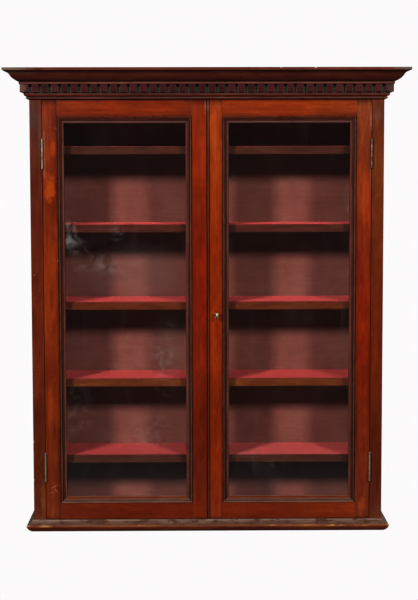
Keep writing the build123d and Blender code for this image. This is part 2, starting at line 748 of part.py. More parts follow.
with BuildPart() as right_meeting_stile:
    block((DOOR_INNER, GLAZE_INNER), (FRONT, FACE_BACK), STILE_Z)
    block((LIP_GAP / 2, GLAZE_INNER), (FRONT, FRONT + LIP_DEPTH), STILE_Z)
    cut_mortises(RIGHT, GLAZE_INNER, -1)
    bead_end = DOOR_INNER + MEETING_BEAD
    quirk_y = (FRONT, FRONT + QUIRK_DEPTH)
    block((bead_end, bead_end + BEAD_QUIRK), quirk_y, STILE_Z, Mode.SUBTRACT)
    bead_edges = right_meeting_stile.edges().filter_by(Axis.Z).group_by(Axis.Y)[0]
    fillet(bead_edges.sort_by(Axis.X)[0:2], BEAD_ROUND)
    lock_z = (KEY_Z - LOCK_LOW, KEY_Z + LOCK_HIGH)
    block((DOOR_INNER, LOCK_FAR), (LOCK_FRONT, FACE_BACK), lock_z, Mode.SUBTRACT)
    with BuildSketch(facing_front(LOCK_FRONT)):
        keyhole(0)
    extrude(amount=FACE - LOCK_DEPTH, mode=Mode.SUBTRACT)
    with BuildSketch(facing_front(FRONT + ESCUTCHEON_THICK)):
        keyhole(ESCUTCHEON_RIM)
    extrude(amount=ESCUTCHEON_THICK, mode=Mode.SUBTRACT)
export(right_meeting_stile.part, "right_door_meeting_stile")

for side, door in ((LEFT, "left_door"), (RIGHT, "right_door")):
    export(make_hinge_stile(side), f"{door}_hinge_stile")
    export(make_rail(side, (GLAZE_TOP, DOOR_TOP), TENON_UPPER), f"{door}_top_rail")
    export(make_rail(side, (DOOR_BOTTOM, GLAZE_BOTTOM), TENON_LOWER), f"{door}_bottom_rail")

# ---------------------------------------------------------------- glazing
# Profiles are drawn as (distance in from the frame, height above the profile's back).
LIP_HEIGHT = 5.0
BEAD_CORNER = 4.0


def moulding_outline():
    """A quirked bead and a quarter round that falls to a flat lip beside the glass."""
    depth = MOULD_DEPTH
    with BuildSketch(mode=Mode.PRIVATE) as outline:
        with BuildLine():
            Polyline((0, 0), (0, depth - 1.8), (1.1, depth - 1.8), (1.1, depth - 0.4))
            ThreePointArc((1.1, depth - 0.4), (2.3, depth + 0.6), (3.5, depth - 0.4))
            ThreePointArc((3.5, depth - 0.4), (8.6, depth - 1.9), (11.0, LIP_HEIGHT + 0.9))
            Polyline((11.0, LIP_HEIGHT + 0.9), (11.0, LIP_HEIGHT), (MOULD_WIDTH - 0.8, LIP_HEIGHT))
            Polyline((MOULD_WIDTH - 0.8, LIP_HEIGHT), (MOULD_WIDTH, LIP_HEIGHT - 0.8))
            Polyline((MOULD_WIDTH, LIP_HEIGHT - 0.8), (MOULD_WIDTH, 0), (0, 0))
        make_face()
    return outline.sketch


def glazing_bead_outline():
    """A bead with a rounded inner corner."""
    thick = FACE - MOULD_DEPTH - GLASS
    with BuildSketch(mode=Mode.PRIVATE) as outline:
        with BuildLine():
            Polyline((BEAD_WIDTH - BEAD_CORNER, thick), (0, thick), (0, 0), (BEAD_WIDTH, 0))
            Line((BEAD_WIDTH, 0), (BEAD_WIDTH, thick - BEAD_CORNER))
            JernArc((BEAD_WIDTH, thick - BEAD_CORNER), (0, 1), BEAD_CORNER, 90)
        make_face()
    return outline.sketch


def frame_piece(outline, back_y, up_y, width, corner_a, corner_b, inward):
    """One mitred length of a four-sided glazing frame, from corner_a to corner_b."""
    (ax, az), (bx, bz) = corner_a, corner_b
    nx, nz = inward
    along = Vector(bx - ax, 0, bz - az).normalized()
    length = abs(bx - ax) + abs(bz - az)
    start = (ax, back_y, az)
    profile_plane = Plane(origin=start, x_dir=(nx, 0, nz), z_dir=tuple(along))
    rises = profile_plane.y_dir.Y * up_y > 0
    gap = MITRE_GAP / 2
    with BuildPart() as piece:
        with BuildSketch(profile_plane):
            add(outline if rises else outline.mirror(Plane.XZ))
        extrude(amount=length)
        with BuildSketch(facing_front(FACE_BACK)):
            with BuildLine():
                Polyline(
                    (ax + along.X * gap, az + along.Z * gap),
                    (bx - along.X * gap, bz - along.Z * gap),
                    (bx - along.X * (gap + width) + nx * width, bz - along.Z * (gap + width) + nz * width),
                    (ax + along.X * (gap + width) + nx * width, az + along.Z * (gap + width) + nz * width),
                    close=True,
                )
            make_face()
        extrude(amount=FACE + MOULD_DEPTH, mode=Mode.INTERSECT)
    return piece.part


def glazing_frame(side, outline, back_y, up_y, width):
    """Four mitred lengths round one door's glass."""
    x0, x1 = mirrored(side, GLAZE_INNER, GLAZE_OUTER)
    z0, z1 = GLAZE_BOTTOM, GLAZE_TOP
    runs = [
        ((x0, z0), (x1, z0), (0, 1)),
        ((x0, z1), (x1, z1), (0, -1)),
        ((x0, z0), (x0, z1), (1, 0)),
        ((x1, z0), (x1, z1), (-1, 0)),
    ]
    with BuildPart() as frame:
        for start, end, inward in runs:
            add(frame_piece(outline, back_y, up_y, width, start, end, inward))
    return frame.part


for side, door in ((LEFT, "left_door"), (RIGHT, "right_door")):
    moulding = glazing_frame(side, moulding_outline(), GLASS_FRONT, -1, MOULD_WIDTH)
    export(moulding, f"{door}_moulding")
    beads = glazing_frame(side, glazing_bead_outline(), GLASS_BACK, 1, BEAD_WIDTH)
    export(beads, f"{door}_glazing_beads")
    with BuildPart() as glass:
        pane_x = mirrored(side, GLAZE_INNER + GLASS_EDGE, GLAZE_OUTER - GLASS_EDGE)
        pane_z = (GLAZE_BOTTOM + GLASS_EDGE, GLAZE_TOP - GLASS_EDGE)
        block(pane_x, (GLASS_FRONT, GLASS_BACK), pane_z)
    export(glass.part, f"{door}_glass")

# ---------------------------------------------------------------- door hinge leaves and screws
door_plate = (DOOR_OUTER, DOOR_OUTER - LEAF_THICK)
export(make_leaves(LEFT, DOOR_KNUCKLES, *door_plate, INTO_RIGHT), "left_door_hinge_leaves")
export(make_leaves(RIGHT, DOOR_KNUCKLES, *door_plate, INTO_LEFT), "right_door_hinge_leaves")

with BuildPart() as left_door_screws:
    with Locations(*hinge_screw_places(-DOOR_OUTER)):
        add(wood_screw(*HINGE_SCREW), rotation=INTO_RIGHT)
    for bolt_z in (BOLT_UPPER_Z, BOLT_LOWER_Z):
        with Locations(*barrel_bolt_screws(bolt_z)):
            add(wood_screw(*BOLT_SCREW), rotation=INTO_FRONT)
export(left_door_screws.part, "left_door_screws")

with BuildPart() as right_door_screws:
    with Locations(*hinge_screw_places(DOOR_OUTER)):
        add(wood_screw(*HINGE_SCREW), rotation=INTO_LEFT)
export(right_door_screws.part, "right_door_screws")

# ---------------------------------------------------------------- barrel bolts
with BuildPart() as bolt_cases:
    for bolt_z in (BOLT_UPPER_Z, BOLT_LOWER_Z):
        plate_x = (BOLT_X - BOLT_PLATE_WIDTH / 2, BOLT_X + BOLT_PLATE_WIDTH / 2)
        plate_z = (bolt_z - BOLT_PLATE_HEIGHT / 2, bolt_z + BOLT_PLATE_HEIGHT / 2)
        block(plate_x, (FACE_BACK, FACE_BACK + BOLT_PLATE), plate_z)
        for offset in (-STAPLE_OFFSET, STAPLE_OFFSET):
            staple_x = (BOLT_X - STAPLE_R, BOLT_X + STAPLE_R)
            staple_z = (bolt_z + offset - STAPLE_LENGTH / 2, bolt_z + offset + STAPLE_LENGTH / 2)
            block(staple_x, (FACE_BACK + BOLT_PLATE, BOLT_Y), staple_z)
            with Locations((BOLT_X, BOLT_Y, bolt_z + offset)):
                Cylinder(STAPLE_R, STAPLE_LENGTH)
        with Locations((BOLT_X, BOLT_Y, bolt_z)):
            Cylinder(BOLT_R + PIN_FIT, BOLT_PLATE_HEIGHT, mode=Mode.SUBTRACT)
        with Locations(*barrel_bolt_screws(bolt_z)):
            add(screw_space(*BOLT_SCREW), rotation=INTO_FRONT, mode=Mode.SUBTRACT)
export(bolt_cases.part, "left_door_bolt_cases")


def make_bolt(end_z, direction):
    """A round bolt with a domed end at end_z and a knob that stands off it."""
    centre = end_z - direction * BOLT_LENGTH / 2
    knob_z = end_z - direction * KNOB_INSET
    with BuildPart() as bolt:
        with Locations((BOLT_X, BOLT_Y, centre)):
            Cylinder(BOLT_R, BOLT_LENGTH)
        fillet(bolt.edges().filter_by(GeomType.CIRCLE), BOLT_ROUND)
        with BuildSketch(Plane(origin=(BOLT_X, BOLT_Y, knob_z), z_dir=(0, 1, 0))):
            Circle(KNOB_R / 2)
        extrude(amount=KNOB_REACH)
        with Locations((BOLT_X, BOLT_Y + KNOB_REACH, knob_z)):
            Sphere(KNOB_R)
    return bolt.part


BOLT_CLEAR = 1.5              # drawn bolts stop this far short of the door stops
export(make_bolt(STOP_UPPER[0] - BOLT_CLEAR, 1), "door_bolt_top")
export(make_bolt(STOP_LOWER[1] + BOLT_CLEAR, -1), "door_bolt_bottom")

# ---------------------------------------------------------------- lock
with BuildPart() as lock_case:
    lock_z = (KEY_Z - LOCK_LOW, KEY_Z + LOCK_HIGH)
    pocket_z = (lock_z[0] + LOCK_WALL, lock_z[1] - LOCK_WALL)
    block((DOOR_INNER, LOCK_FAR), (LOCK_FRONT, POCKET_BACK), lock_z)
    pocket_x = (DOOR_INNER + LOCK_PLATE, LOCK_FAR - LOCK_WALL)
    block(pocket_x, (POCKET_FRONT, POCKET_BACK), pocket_z, Mode.SUBTRACT)
    for guide_z in (
        (LOCK_BOLT_Z[1] + GUIDE_PLAY, LOCK_BOLT_Z[1] + GUIDE),
        (LOCK_BOLT_Z[0] - GUIDE, LOCK_BOLT_Z[0] - GUIDE_PLAY),
    ):
        block(pocket_x, (POCKET_FRONT, POCKET_BACK), guide_z)
    slot_z = (LOCK_BOLT_Z[0] - GUIDE_PLAY, LOCK_BOLT_Z[1] + GUIDE_PLAY)
    slot_x = (DOOR_INNER, DOOR_INNER + LOCK_PLATE)
    block(slot_x, (POCKET_FRONT, POCKET_BACK), slot_z, Mode.SUBTRACT)
    with BuildSketch(facing_front(POCKET_FRONT)):
        keyhole(0)
    extrude(amount=LOCK_PLATE, mode=Mode.SUBTRACT)
export(lock_case.part, "lock_case")

with BuildPart() as lock_cover:
    block((DOOR_INNER, LOCK_FAR), (POCKET_BACK, FACE_BACK), (KEY_Z - LOCK_LOW, KEY_Z + LOCK_HIGH))
    with Locations((KEY_X, (POCKET_BACK + FACE_BACK) / 2, KEY_Z)):
        Cylinder(LOCATING_R, LOCK_PLATE, rotation=(90, 0, 0), mode=Mode.SUBTRACT)
export(lock_cover.part, "lock_cover")

with BuildPart() as lock_bolt:
    block(LOCK_BOLT_X, LOCK_BOLT_Y, LOCK_BOLT_Z)
    block(WINDOW_X, LOCK_BOLT_Y, WINDOW_Z, Mode.SUBTRACT)
export(lock_bolt.part, "lock_bolt")

with BuildPart() as escutcheon:
    with BuildSketch(facing_front(FRONT + ESCUTCHEON_THICK)):
        keyhole(ESCUTCHEON_RIM)
        keyhole(0, Mode.SUBTRACT)
    extrude(amount=ESCUTCHEON_THICK + ESCUTCHEON_PROUD)
export(escutcheon.part, "escutcheon")

BOW_OVERLAP = 2.0             # shank and collar run this far into the bow
BOW_HEIGHT = 19.0
BOW_LENGTH = 16.0
BOW_THICK = 3.0
BOW_RING = 3.4
KEY_FRONT = FRONT - 12.0      # where the shank meets the bow
KEY_PLAY = 0.2
KEY_END = LOCK_BOLT_Y[1] - KEY_PLAY
KEY_COLLAR_R = 3.4
KEY_COLLAR = 3.0

with BuildPart() as key:
    with BuildSketch(facing_front(KEY_END)):
        with Locations((KEY_X, KEY_Z)):
            Circle(SHANK_R)
    extrude(amount=KEY_END - KEY_FRONT)
    with BuildSketch(facing_front(KEY_FRONT + KEY_COLLAR + BOW_OVERLAP)):
        with Locations((KEY_X, KEY_Z)):
            Circle(KEY_COLLAR_R)
    extrude(amount=KEY_COLLAR)
    bit_x = (KEY_X - BIT_THICK / 2, KEY_X + BIT_THICK / 2)
    block(bit_x, (LOCK_BOLT_Y[0] + KEY_PLAY, KEY_END), (KEY_Z - BIT_REACH, KEY_Z))
    bow_plane = Plane(
        origin=(KEY_X - BOW_THICK / 2, KEY_FRONT - BOW_LENGTH / 2 + BOW_OVERLAP, KEY_Z),
        x_dir=(0, 1, 0),
        z_dir=(1, 0, 0),
    )
    with BuildSketch(bow_plane):
        Ellipse(BOW_LENGTH / 2, BOW_HEIGHT / 2)
        Ellipse(BOW_LENGTH / 2 - BOW_RING, BOW_HEIGHT / 2 - BOW_RING, mode=Mode.SUBTRACT)
    extrude(amount=BOW_THICK)
export(key.part, "key")
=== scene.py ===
import math

import bmesh
import bpy
from mathutils import Matrix, Vector, noise


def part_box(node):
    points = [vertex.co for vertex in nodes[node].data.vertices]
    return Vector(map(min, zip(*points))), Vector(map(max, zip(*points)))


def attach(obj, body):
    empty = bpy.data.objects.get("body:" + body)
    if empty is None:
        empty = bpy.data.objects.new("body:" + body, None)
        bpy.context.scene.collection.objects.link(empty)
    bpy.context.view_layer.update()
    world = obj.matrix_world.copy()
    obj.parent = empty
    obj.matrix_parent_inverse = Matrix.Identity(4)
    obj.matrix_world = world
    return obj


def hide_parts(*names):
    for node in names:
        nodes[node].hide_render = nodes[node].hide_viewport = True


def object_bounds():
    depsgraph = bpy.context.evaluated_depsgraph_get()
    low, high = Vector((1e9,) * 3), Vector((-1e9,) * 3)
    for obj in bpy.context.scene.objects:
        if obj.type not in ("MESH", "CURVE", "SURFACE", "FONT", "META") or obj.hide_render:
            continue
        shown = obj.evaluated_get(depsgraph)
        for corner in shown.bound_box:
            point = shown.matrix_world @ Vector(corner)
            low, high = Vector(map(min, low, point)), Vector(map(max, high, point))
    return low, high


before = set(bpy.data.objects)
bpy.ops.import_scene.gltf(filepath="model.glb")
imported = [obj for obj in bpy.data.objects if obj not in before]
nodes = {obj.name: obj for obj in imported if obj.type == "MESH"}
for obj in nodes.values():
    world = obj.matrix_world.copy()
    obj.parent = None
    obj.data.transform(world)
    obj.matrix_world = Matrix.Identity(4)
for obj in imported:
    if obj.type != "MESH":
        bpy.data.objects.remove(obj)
cad_low, cad_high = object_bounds()


# ---------------------------------------------------------------- node helpers

class Shade:
    """A material, or the world's, and short calls that add its nodes."""

    def __init__(self, name, world=False):
        self.material = (bpy.data.worlds if world else bpy.data.materials).new(name)
        self.material.use_nodes = True
        self.tree = self.material.node_tree
        self.tree.nodes.clear()
        self.out = self.tree.nodes.new("ShaderNodeOutputWorld" if world else "ShaderNodeOutputMaterial")
        self._object = None

    def put(self, socket, value):
        if isinstance(value, bpy.types.NodeSocket):
            self.tree.links.new(value, socket)
        elif isinstance(value, (tuple, list)) and len(value) == 3 and socket.type == "RGBA":
            socket.default_value = (*value, 1.0)
        else:
            socket.default_value = value

    def node(self, kind, inputs=None, **settings):
        n = self.tree.nodes.new("ShaderNode" + kind)
        for key, value in settings.items():
            setattr(n, key, value)
        for key, value in (inputs or {}).items():
            self.put(n.inputs[key], value)
        return n

    def position(self):
        """The point that is being shaded, in the object's own frame."""
        if self._object is None:
            self._object = self.node("TexCoord").outputs["Object"]
        return self._object

    def math(self, operation, a, b=0.0, c=0.0, clamp=False):
        return self.node("Math", {0: a, 1: b, 2: c}, operation=operation, use_clamp=clamp).outputs[0]

    def mix(self, factor, a, b, blend="MIX"):
        """A colour between a and b, or a blended with b."""
        n = self.node("Mix", data_type="RGBA", blend_type=blend, clamp_factor=True)
        self.put(n.inputs[0], factor)
        self.put(n.inputs[6], a)
        self.put(n.inputs[7], b)
        return n.outputs[2]

    def blend_value(self, factor, a, b):
        n = self.node("Mix", data_type="FLOAT", clamp_factor=True)
        self.put(n.inputs[0], factor)
        self.put(n.inputs[2], a)
        self.put(n.inputs[3], b)
        return n.outputs[0]

    def span(self, value, low, high, to_low=0.0, to_high=1.0, smooth=True):
        """Maps low to high onto to_low to to_high, and holds beyond them."""
        kind = "SMOOTHSTEP" if smooth else "LINEAR"
        n = self.node("MapRange", {0: value, 1: low, 2: high, 3: to_low, 4: to_high},
                      interpolation_type=kind, clamp=True)
        return n.outputs[0]

    def times(self, first, *others):
        """The product of its values."""
        for value in others:
            first = self.math("MULTIPLY", first, value)
        return first

    def scaled(self, vector, factor):
        return self.node("VectorMath", {0: vector, "Scale": factor}, operation="SCALE").outputs[0]

    def length(self, vector):
        return self.node("VectorMath", {0: vector}, operation="LENGTH").outputs["Value"]

    def stretch(self, scale, move=(0.0, 0.0, 0.0)):
        """The point, with each axis scaled: a texture laid on it runs long where the scale is small."""
        return self.node("Mapping", {0: self.position(), 1: move, 3: scale}).outputs[0]

    def noise(self, vector, scale, detail=3.0, rough=0.55, bend=0.0):
        n = self.node("TexNoise", {"Vector": vector, "Scale": scale, "Detail": detail,
                                   "Roughness": rough, "Distortion": bend})
        return n.outputs[0]

    def cells(self, vector, scale):
        """The distance to the nearest of many scattered points."""
        return self.node("TexVoronoi", {"Vector": vector, "Scale": scale}).outputs[0]

    def split(self, vector):
        return self.node("SeparateXYZ", {0: vector}).outputs

    def normal(self):
        return self.node("NewGeometry").outputs["Normal"]

    def ramp(self, value, stops):
        n = self.node("ValToRGB", {0: value})
        band = n.color_ramp
        while len(band.elements) > 1:
            band.elements.remove(band.elements[0])
        band.elements[0].position = stops[0][0]
        band.elements[0].color = (*stops[0][1], 1.0)
        for place, colour in stops[1:]:
            band.elements.new(place).color = (*colour, 1.0)
        return n.outputs[0]

    def bump(self, height, strength, distance, normal=None):
        """A normal tilted by a height, on top of the given one if there is one."""
        n = self.node("Bump", {"Height": height, "Strength": strength, "Distance": distance})
        if normal is not None:
            self.put(n.inputs["Normal"], normal)
        return n.outputs[0]

    def crevice(self, distance):
        """1 in the open, falling towards 0 in corners and gaps."""
        n = self.node("AmbientOcclusion", {"Distance": distance}, samples=6, only_local=False)
        return n.outputs["AO"]

    def edge(self, radius):
        """1 on flat faces, falling towards 0 on rounded outer and inner edges."""
        bevel = self.node("Bevel", {"Radius": radius}, samples=4)
        n = self.node("VectorMath", {0: bevel.outputs[0], 1: self.normal()}, operation="DOT_PRODUCT")
        return n.outputs["Value"]

    def surface(self, **inputs):
        """Ends the material in a principled surface. An input's name has _ for each space."""
        n = self.node("BsdfPrincipled")
        for key, value in inputs.items():
            self.put(n.inputs[key.replace("_", " ")], value)
        self.tree.links.new(n.outputs[0], self.out.inputs[0])


def drawn_out(scale):
    """For each axis of the grain, the scales that draw a texture out along it."""
    return {grain: tuple(scale if axis == grain else 1.0 for axis in "XYZ") for grain in "XYZ"}


GRAIN, FLAME, PORES, MOTTLE = drawn_out(0.07), drawn_out(0.22), drawn_out(0.035), drawn_out(0.5)


# ---------------------------------------------------------------- places on a CAD node

def share(s, node, axis, wander=0.0):
    """How far a point lies along a node's box, 0 to 1. wander: how far the measure strays, in metres."""
    low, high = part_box(node)
    i = "XYZ".index(axis)
    place = s.split(s.position())[axis]
    if wander:
        stray = s.math("SUBTRACT", s.noise(s.position(), 14.0, 3.0), 0.5)
        place = s.math("MULTIPLY_ADD", stray, wander, place)
    return s.span(place, low[i], high[i], smooth=False)


def edge_distances(s, node):
    """Distances from a glazed frame's outer edges: to the nearer side, and to the nearer end."""
    low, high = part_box(node)
    place = s.split(s.position())
    beside = s.math("MINIMUM", s.math("SUBTRACT", place["X"], low.x), s.math("SUBTRACT", high.x, place["X"]))
    above = s.math("MINIMUM", s.math("SUBTRACT", place["Z"], low.z), s.math("SUBTRACT", high.z, place["Z"]))
    return beside, above


def frame_members(s, node):
    """0 on a glazed frame's upright members and 1 on its level ones, meeting at the mitres."""
    beside, above = edge_distances(s, node)
    return s.math("LESS_THAN", above, beside)


def cornice_members(s, node):
    """0 on a moulding's front run and 1 on its two returns, meeting at the mitres."""
    low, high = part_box(node)
    place = s.split(s.position())
    beside = s.math("SUBTRACT", high.x, s.math("ABSOLUTE", place["X"]))
    behind = s.math("SUBTRACT", place["Y"], low.y)
    return s.math("LESS_THAN", beside, behind)


def soft_spot(s, node, x, z, wide, tall, turn=0.0, ragged=0.6):
    """1 inside a soft ellipse, 0 outside. x and z are shares of the node's box, wide and tall in metres.

    turn: its turn in degrees. ragged: how far its edge is broken up."""
    low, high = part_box(node)
    centre = (low.x + x * (high.x - low.x), 0.0, low.z + z * (high.z - low.z))
    spot = s.node("Mapping", {0: s.position(), 1: centre, 2: (0.0, math.radians(turn), 0.0),
                              3: (wide / 2, 50.0, tall / 2)}, vector_type="TEXTURE").outputs[0]
    reach = s.length(spot)
    torn = s.math("MULTIPLY_ADD", s.math("SUBTRACT", s.noise(s.position(), 60.0, 4.0, 0.65), 0.5),
                  2.0 * ragged, reach)
    return s.span(torn, 1.0, 0.35)


# ---------------------------------------------------------------- layers of an old finish
# Each of these returns a function that takes a shade and the colour so far, and gives the new colour.

def banded(node, axis, stops, wander=0.0):
    """Multiplies by a ramp of shares along the node's box."""
    def lay(s, colour):
        return s.mix(1.0, colour, s.ramp(share(s, node, axis, wander), stops), "MULTIPLY")
    return lay


def mark(node, x, z, wide, tall, tint, strength, **shape):
    """A soft patch; some are scratches and chips, some painted highlights."""
    def lay(s, colour):
        spot = soft_spot(s, node, x, z, wide, tall, **shape)
        return s.mix(s.times(spot, strength), colour, tint)
    return lay


def wood(name, grain, middle, shift=(0, 0, 0), figure=1.0, second=None, members=None, layers=(),
         wear=0.5, worn=(0.30, 0.12, 0.07), edge=0.0016, grime=0.5, dust=0.0, lint=(0.22, 0.165, 0.14),
         rough=0.50, coat=0.45, gloss=0.05):
    """Polished mahogany.

    middle: its usual colour, or a function of the shade that gives it. grain: the axis it runs along.
    second: the grain axis of the members that the members factor picks. layers: what lies over the wood.
    figure: the strength of its pattern. wear, grime, dust: how much of each there is; grime darkens corners
    and gaps with old dirt and painted shade. edge: how far wear
    reaches, in metres. worn and lint: the colours of rubbed edges and of dust. gloss: its specular level."""
    s = Shade(name)
    turned = members(s) if members else None

    def lay(scales):
        vector = s.stretch(scales[grain], shift)
        if turned is None:
            return vector
        n = s.node("Mix", data_type="VECTOR")
        s.put(n.inputs[0], turned)
        s.put(n.inputs[4], vector)
        s.put(n.inputs[5], s.stretch(scales[second], tuple(c + 0.37 for c in shift)))
        return n.outputs[1]

    along = lay(GRAIN)
    # ribbon figure, flame figure, the fine streaks of the grain and a soft mottle
    ribbon = s.noise(along, 34.0, 4.0, 0.62, 0.7)
    flame = s.noise(lay(FLAME), 44.0, 4.0, 0.6, 1.4)
    streak = s.noise(along, 170.0, 3.0, 0.65, 0.2)
    mottled = s.noise(lay(MOTTLE), 20.0, 4.0, 0.6, 0.6)
    tone = 0.5
    for part, weight in ((ribbon, 0.9), (flame, 0.9), (streak, 0.65), (mottled, 0.75)):
        tone = s.math("MULTIPLY_ADD", s.math("SUBTRACT", part, 0.5), weight * figure, tone)
    shading = s.ramp(tone, [(0.0, (0.26, 0.22, 0.22)), (0.5, (0.50, 0.50, 0.50)), (1.0, (0.80, 0.96, 0.78))])
    base = middle(s) if callable(middle) else middle
    colour = s.scaled(s.mix(1.0, base, shading, "MULTIPLY"), 2.0)
    # open pores: short dark ticks filled with old polish
    pore = s.span(s.noise(lay(PORES), 900.0, 2.0, 0.7), 0.60, 0.72)
    colour = s.mix(s.times(pore, 0.75), colour, (0.14, 0.11, 0.11), "MULTIPLY")
    for layer in layers:
        colour = layer(s, colour)
    # rubbed edges
    chipped = s.noise(s.position(), 60.0, 4.0, 0.7)
    rubbed = s.times(s.span(s.edge(edge), 0.985, 0.84), s.span(chipped, 0.32, 0.60))
    colour = s.mix(s.times(rubbed, wear), colour, worn)
    # hair scratches
    scratch_map = s.noise(s.stretch((1.0, 1.0, 0.25), (3.1, 1.7, 0.4)), 46.0, 2.0, 0.5, 3.0)
    scratch = s.span(s.math("ABSOLUTE", s.math("SUBTRACT", scratch_map, 0.5)), 0.006, 0.0)
    where = s.span(s.noise(s.position(), 7.0, 2.0), 0.56, 0.66)
    colour = s.mix(s.times(scratch, where, 0.35), colour, (0.34, 0.16, 0.10))
    # darker in the corners of the mouldings and in gaps: old dirt and dark polish, with painted shade
    hollow_dirt_and_shade = s.span(s.crevice(0.010), 0.66, 0.18)
    colour = s.mix(s.times(hollow_dirt_and_shade, grime), colour, (0.012, 0.006, 0.005))
    # dust on what faces up
    up = s.split(s.normal())["Z"]
    drift = s.noise(s.position(), 38.0, 5.0, 0.7)
    settled = s.times(s.span(up, 0.35, 0.95), s.span(drift, 0.25, 0.60))
    colour = s.mix(s.times(settled, dust), colour, lint)
    uneven = s.math("MULTIPLY_ADD", s.noise(s.position(), 16.0, 4.0, 0.6), 0.22, rough - 0.11, clamp=True)
    uneven = s.blend_value(s.times(settled, min(1.0, 2.5 * dust)), uneven, 0.95)
    relief = s.math("SUBTRACT", s.times(streak, 0.5), pore)
    bump = s.bump(relief, 0.16, 0.0004)
    wave = s.bump(s.noise(along, 12.0, 2.0), 0.10, 0.002, bump)
    s.surface(Base_Color=colour, Roughness=uneven, Coat_Weight=coat, Coat_Roughness=0.05,
              Specular_IOR_Level=gloss, Normal=wave)
    return s.material


def aged_brass(name, bright=(0.56, 0.48, 0.31), dull=(0.20, 0.155, 0.095), shine=0.32, painted_levels=(),
               glint_at=None):
    """Old lacquered brass. painted_levels: its brightness low down, and high up on the left and on the right,
    painted in as light and shade that even out how the lamps light it.

    shine: its roughness where it is bright. glint_at: a soft spot painted pale and less metallic as a
    highlight."""
    s = Shade(name)
    cloud = s.noise(s.position(), 90.0, 5.0, 0.65, 0.4)
    patch = s.span(cloud, 0.36, 0.66)
    colour = s.mix(patch, dull, bright)
    spots = s.span(s.noise(s.position(), 420.0, 3.0, 0.6), 0.60, 0.72)
    colour = s.mix(s.times(spots, 0.7), colour, (0.07, 0.05, 0.03))
    rubbed = s.span(s.edge(0.0007), 0.98, 0.82)
    colour = s.mix(s.times(rubbed, 0.55), colour, tuple(min(1.0, 1.25 * c) for c in bright))
    grime = s.span(s.crevice(0.004), 0.70, 0.25)
    colour = s.mix(s.times(grime, 0.8), colour, (0.03, 0.022, 0.014))
    # painted light and shade: brighter low down, darker high up
    if painted_levels:
        place = s.split(s.position())
        side = s.blend_value(s.span(place["X"], -0.05, 0.05), *painted_levels[1:])
        level = s.blend_value(s.span(place["Z"], -0.05, 0.05), painted_levels[0], side)
        colour = s.scaled(colour, level)
    metal = 1.0
    # a painted highlight
    if glint_at:
        pale = soft_spot(s, *glint_at, ragged=0.1)
        colour = s.mix(pale, colour, (1.0, 0.90, 0.64))
        metal = s.math("MULTIPLY_ADD", pale, -0.80, 1.0)
    rough = s.blend_value(patch, shine + 0.25, shine)
    fine = s.noise(s.stretch((1.0, 1.0, 0.15)), 1400.0, 2.0)
    s.surface(Base_Color=colour, Metallic=metal, Roughness=rough, Normal=s.bump(fine, 0.12, 0.0003))
    return s.material


def dull_steel(name):
    """Brushed steel gone dull, with specks of rust and brighter edges."""
    s = Shade(name)
    cloud = s.noise(s.position(), 70.0, 5.0, 0.6, 0.5)
    colour = s.ramp(cloud, [(0.30, (0.13, 0.11, 0.095)), (0.52, (0.30, 0.28, 0.26)),
                            (0.75, (0.42, 0.40, 0.37))])
    rust = s.span(s.noise(s.position(), 260.0, 4.0, 0.7), 0.58, 0.70)
    colour = s.mix(s.times(rust, 0.6), colour, (0.12, 0.05, 0.025))
    rubbed = s.span(s.edge(0.0005), 0.98, 0.84)
    colour = s.mix(s.times(rubbed, 0.5), colour, (0.55, 0.53, 0.50))
    brushed = s.noise(s.stretch((1.0, 1.0, 0.06)), 1500.0, 2.0)
    rough = s.math("MULTIPLY_ADD", rust, 0.35, s.span(cloud, 0.2, 0.8, 0.48, 0.30))
    s.surface(Base_Color=colour, Metallic=1.0, Roughness=rough, Normal=s.bump(brushed, 0.14, 0.0003))
    return s.material


def plain_pine(name, grain):
    """Unpolished softwood that has gone brown, with knots and board marks."""
    s = Shade(name)
    along = s.stretch(GRAIN[grain], (2.0, 0.3, 1.0))
    rings = s.node("TexWave", {"Vector": along, "Scale": 14.0, "Distortion": 5.0, "Detail": 3.0,
                               "Detail Scale": 1.6}, wave_type="BANDS", bands_direction="X").outputs[1]
    stain = s.noise(s.position(), 4.0, 4.0, 0.6)
    tone = s.math("MULTIPLY_ADD", rings, 0.45, s.times(stain, 0.6))
    colour = s.ramp(tone, [(0.15, (0.42, 0.26, 0.13)), (0.5, (0.31, 0.17, 0.08)),
                           (0.9, (0.15, 0.075, 0.035))])
    knot = s.cells(s.stretch((5.2, 5.2, 1.9)), 1.0)
    colour = s.mix(s.span(knot, 0.075, 0.03), colour, (0.07, 0.03, 0.015))
    fibre = s.noise(along, 320.0, 3.0, 0.7)
    colour = s.mix(s.span(fibre, 0.35, 0.75, 0.0, 0.35), colour, (0.12, 0.06, 0.03))
    # painted shade in the corners and in the gaps between the boards
    colour = s.mix(s.span(s.crevice(0.02), 0.7, 0.2, 0.0, 0.8), colour, (0.03, 0.02, 0.012))
    rough = s.span(fibre, 0.2, 0.8, 0.70, 0.92)
    s.surface(Base_Color=colour, Roughness=rough, Normal=s.bump(fibre, 0.35, 0.0006), Specular_IOR_Level=0.3)
    return s.material


THREAD = 0.0011


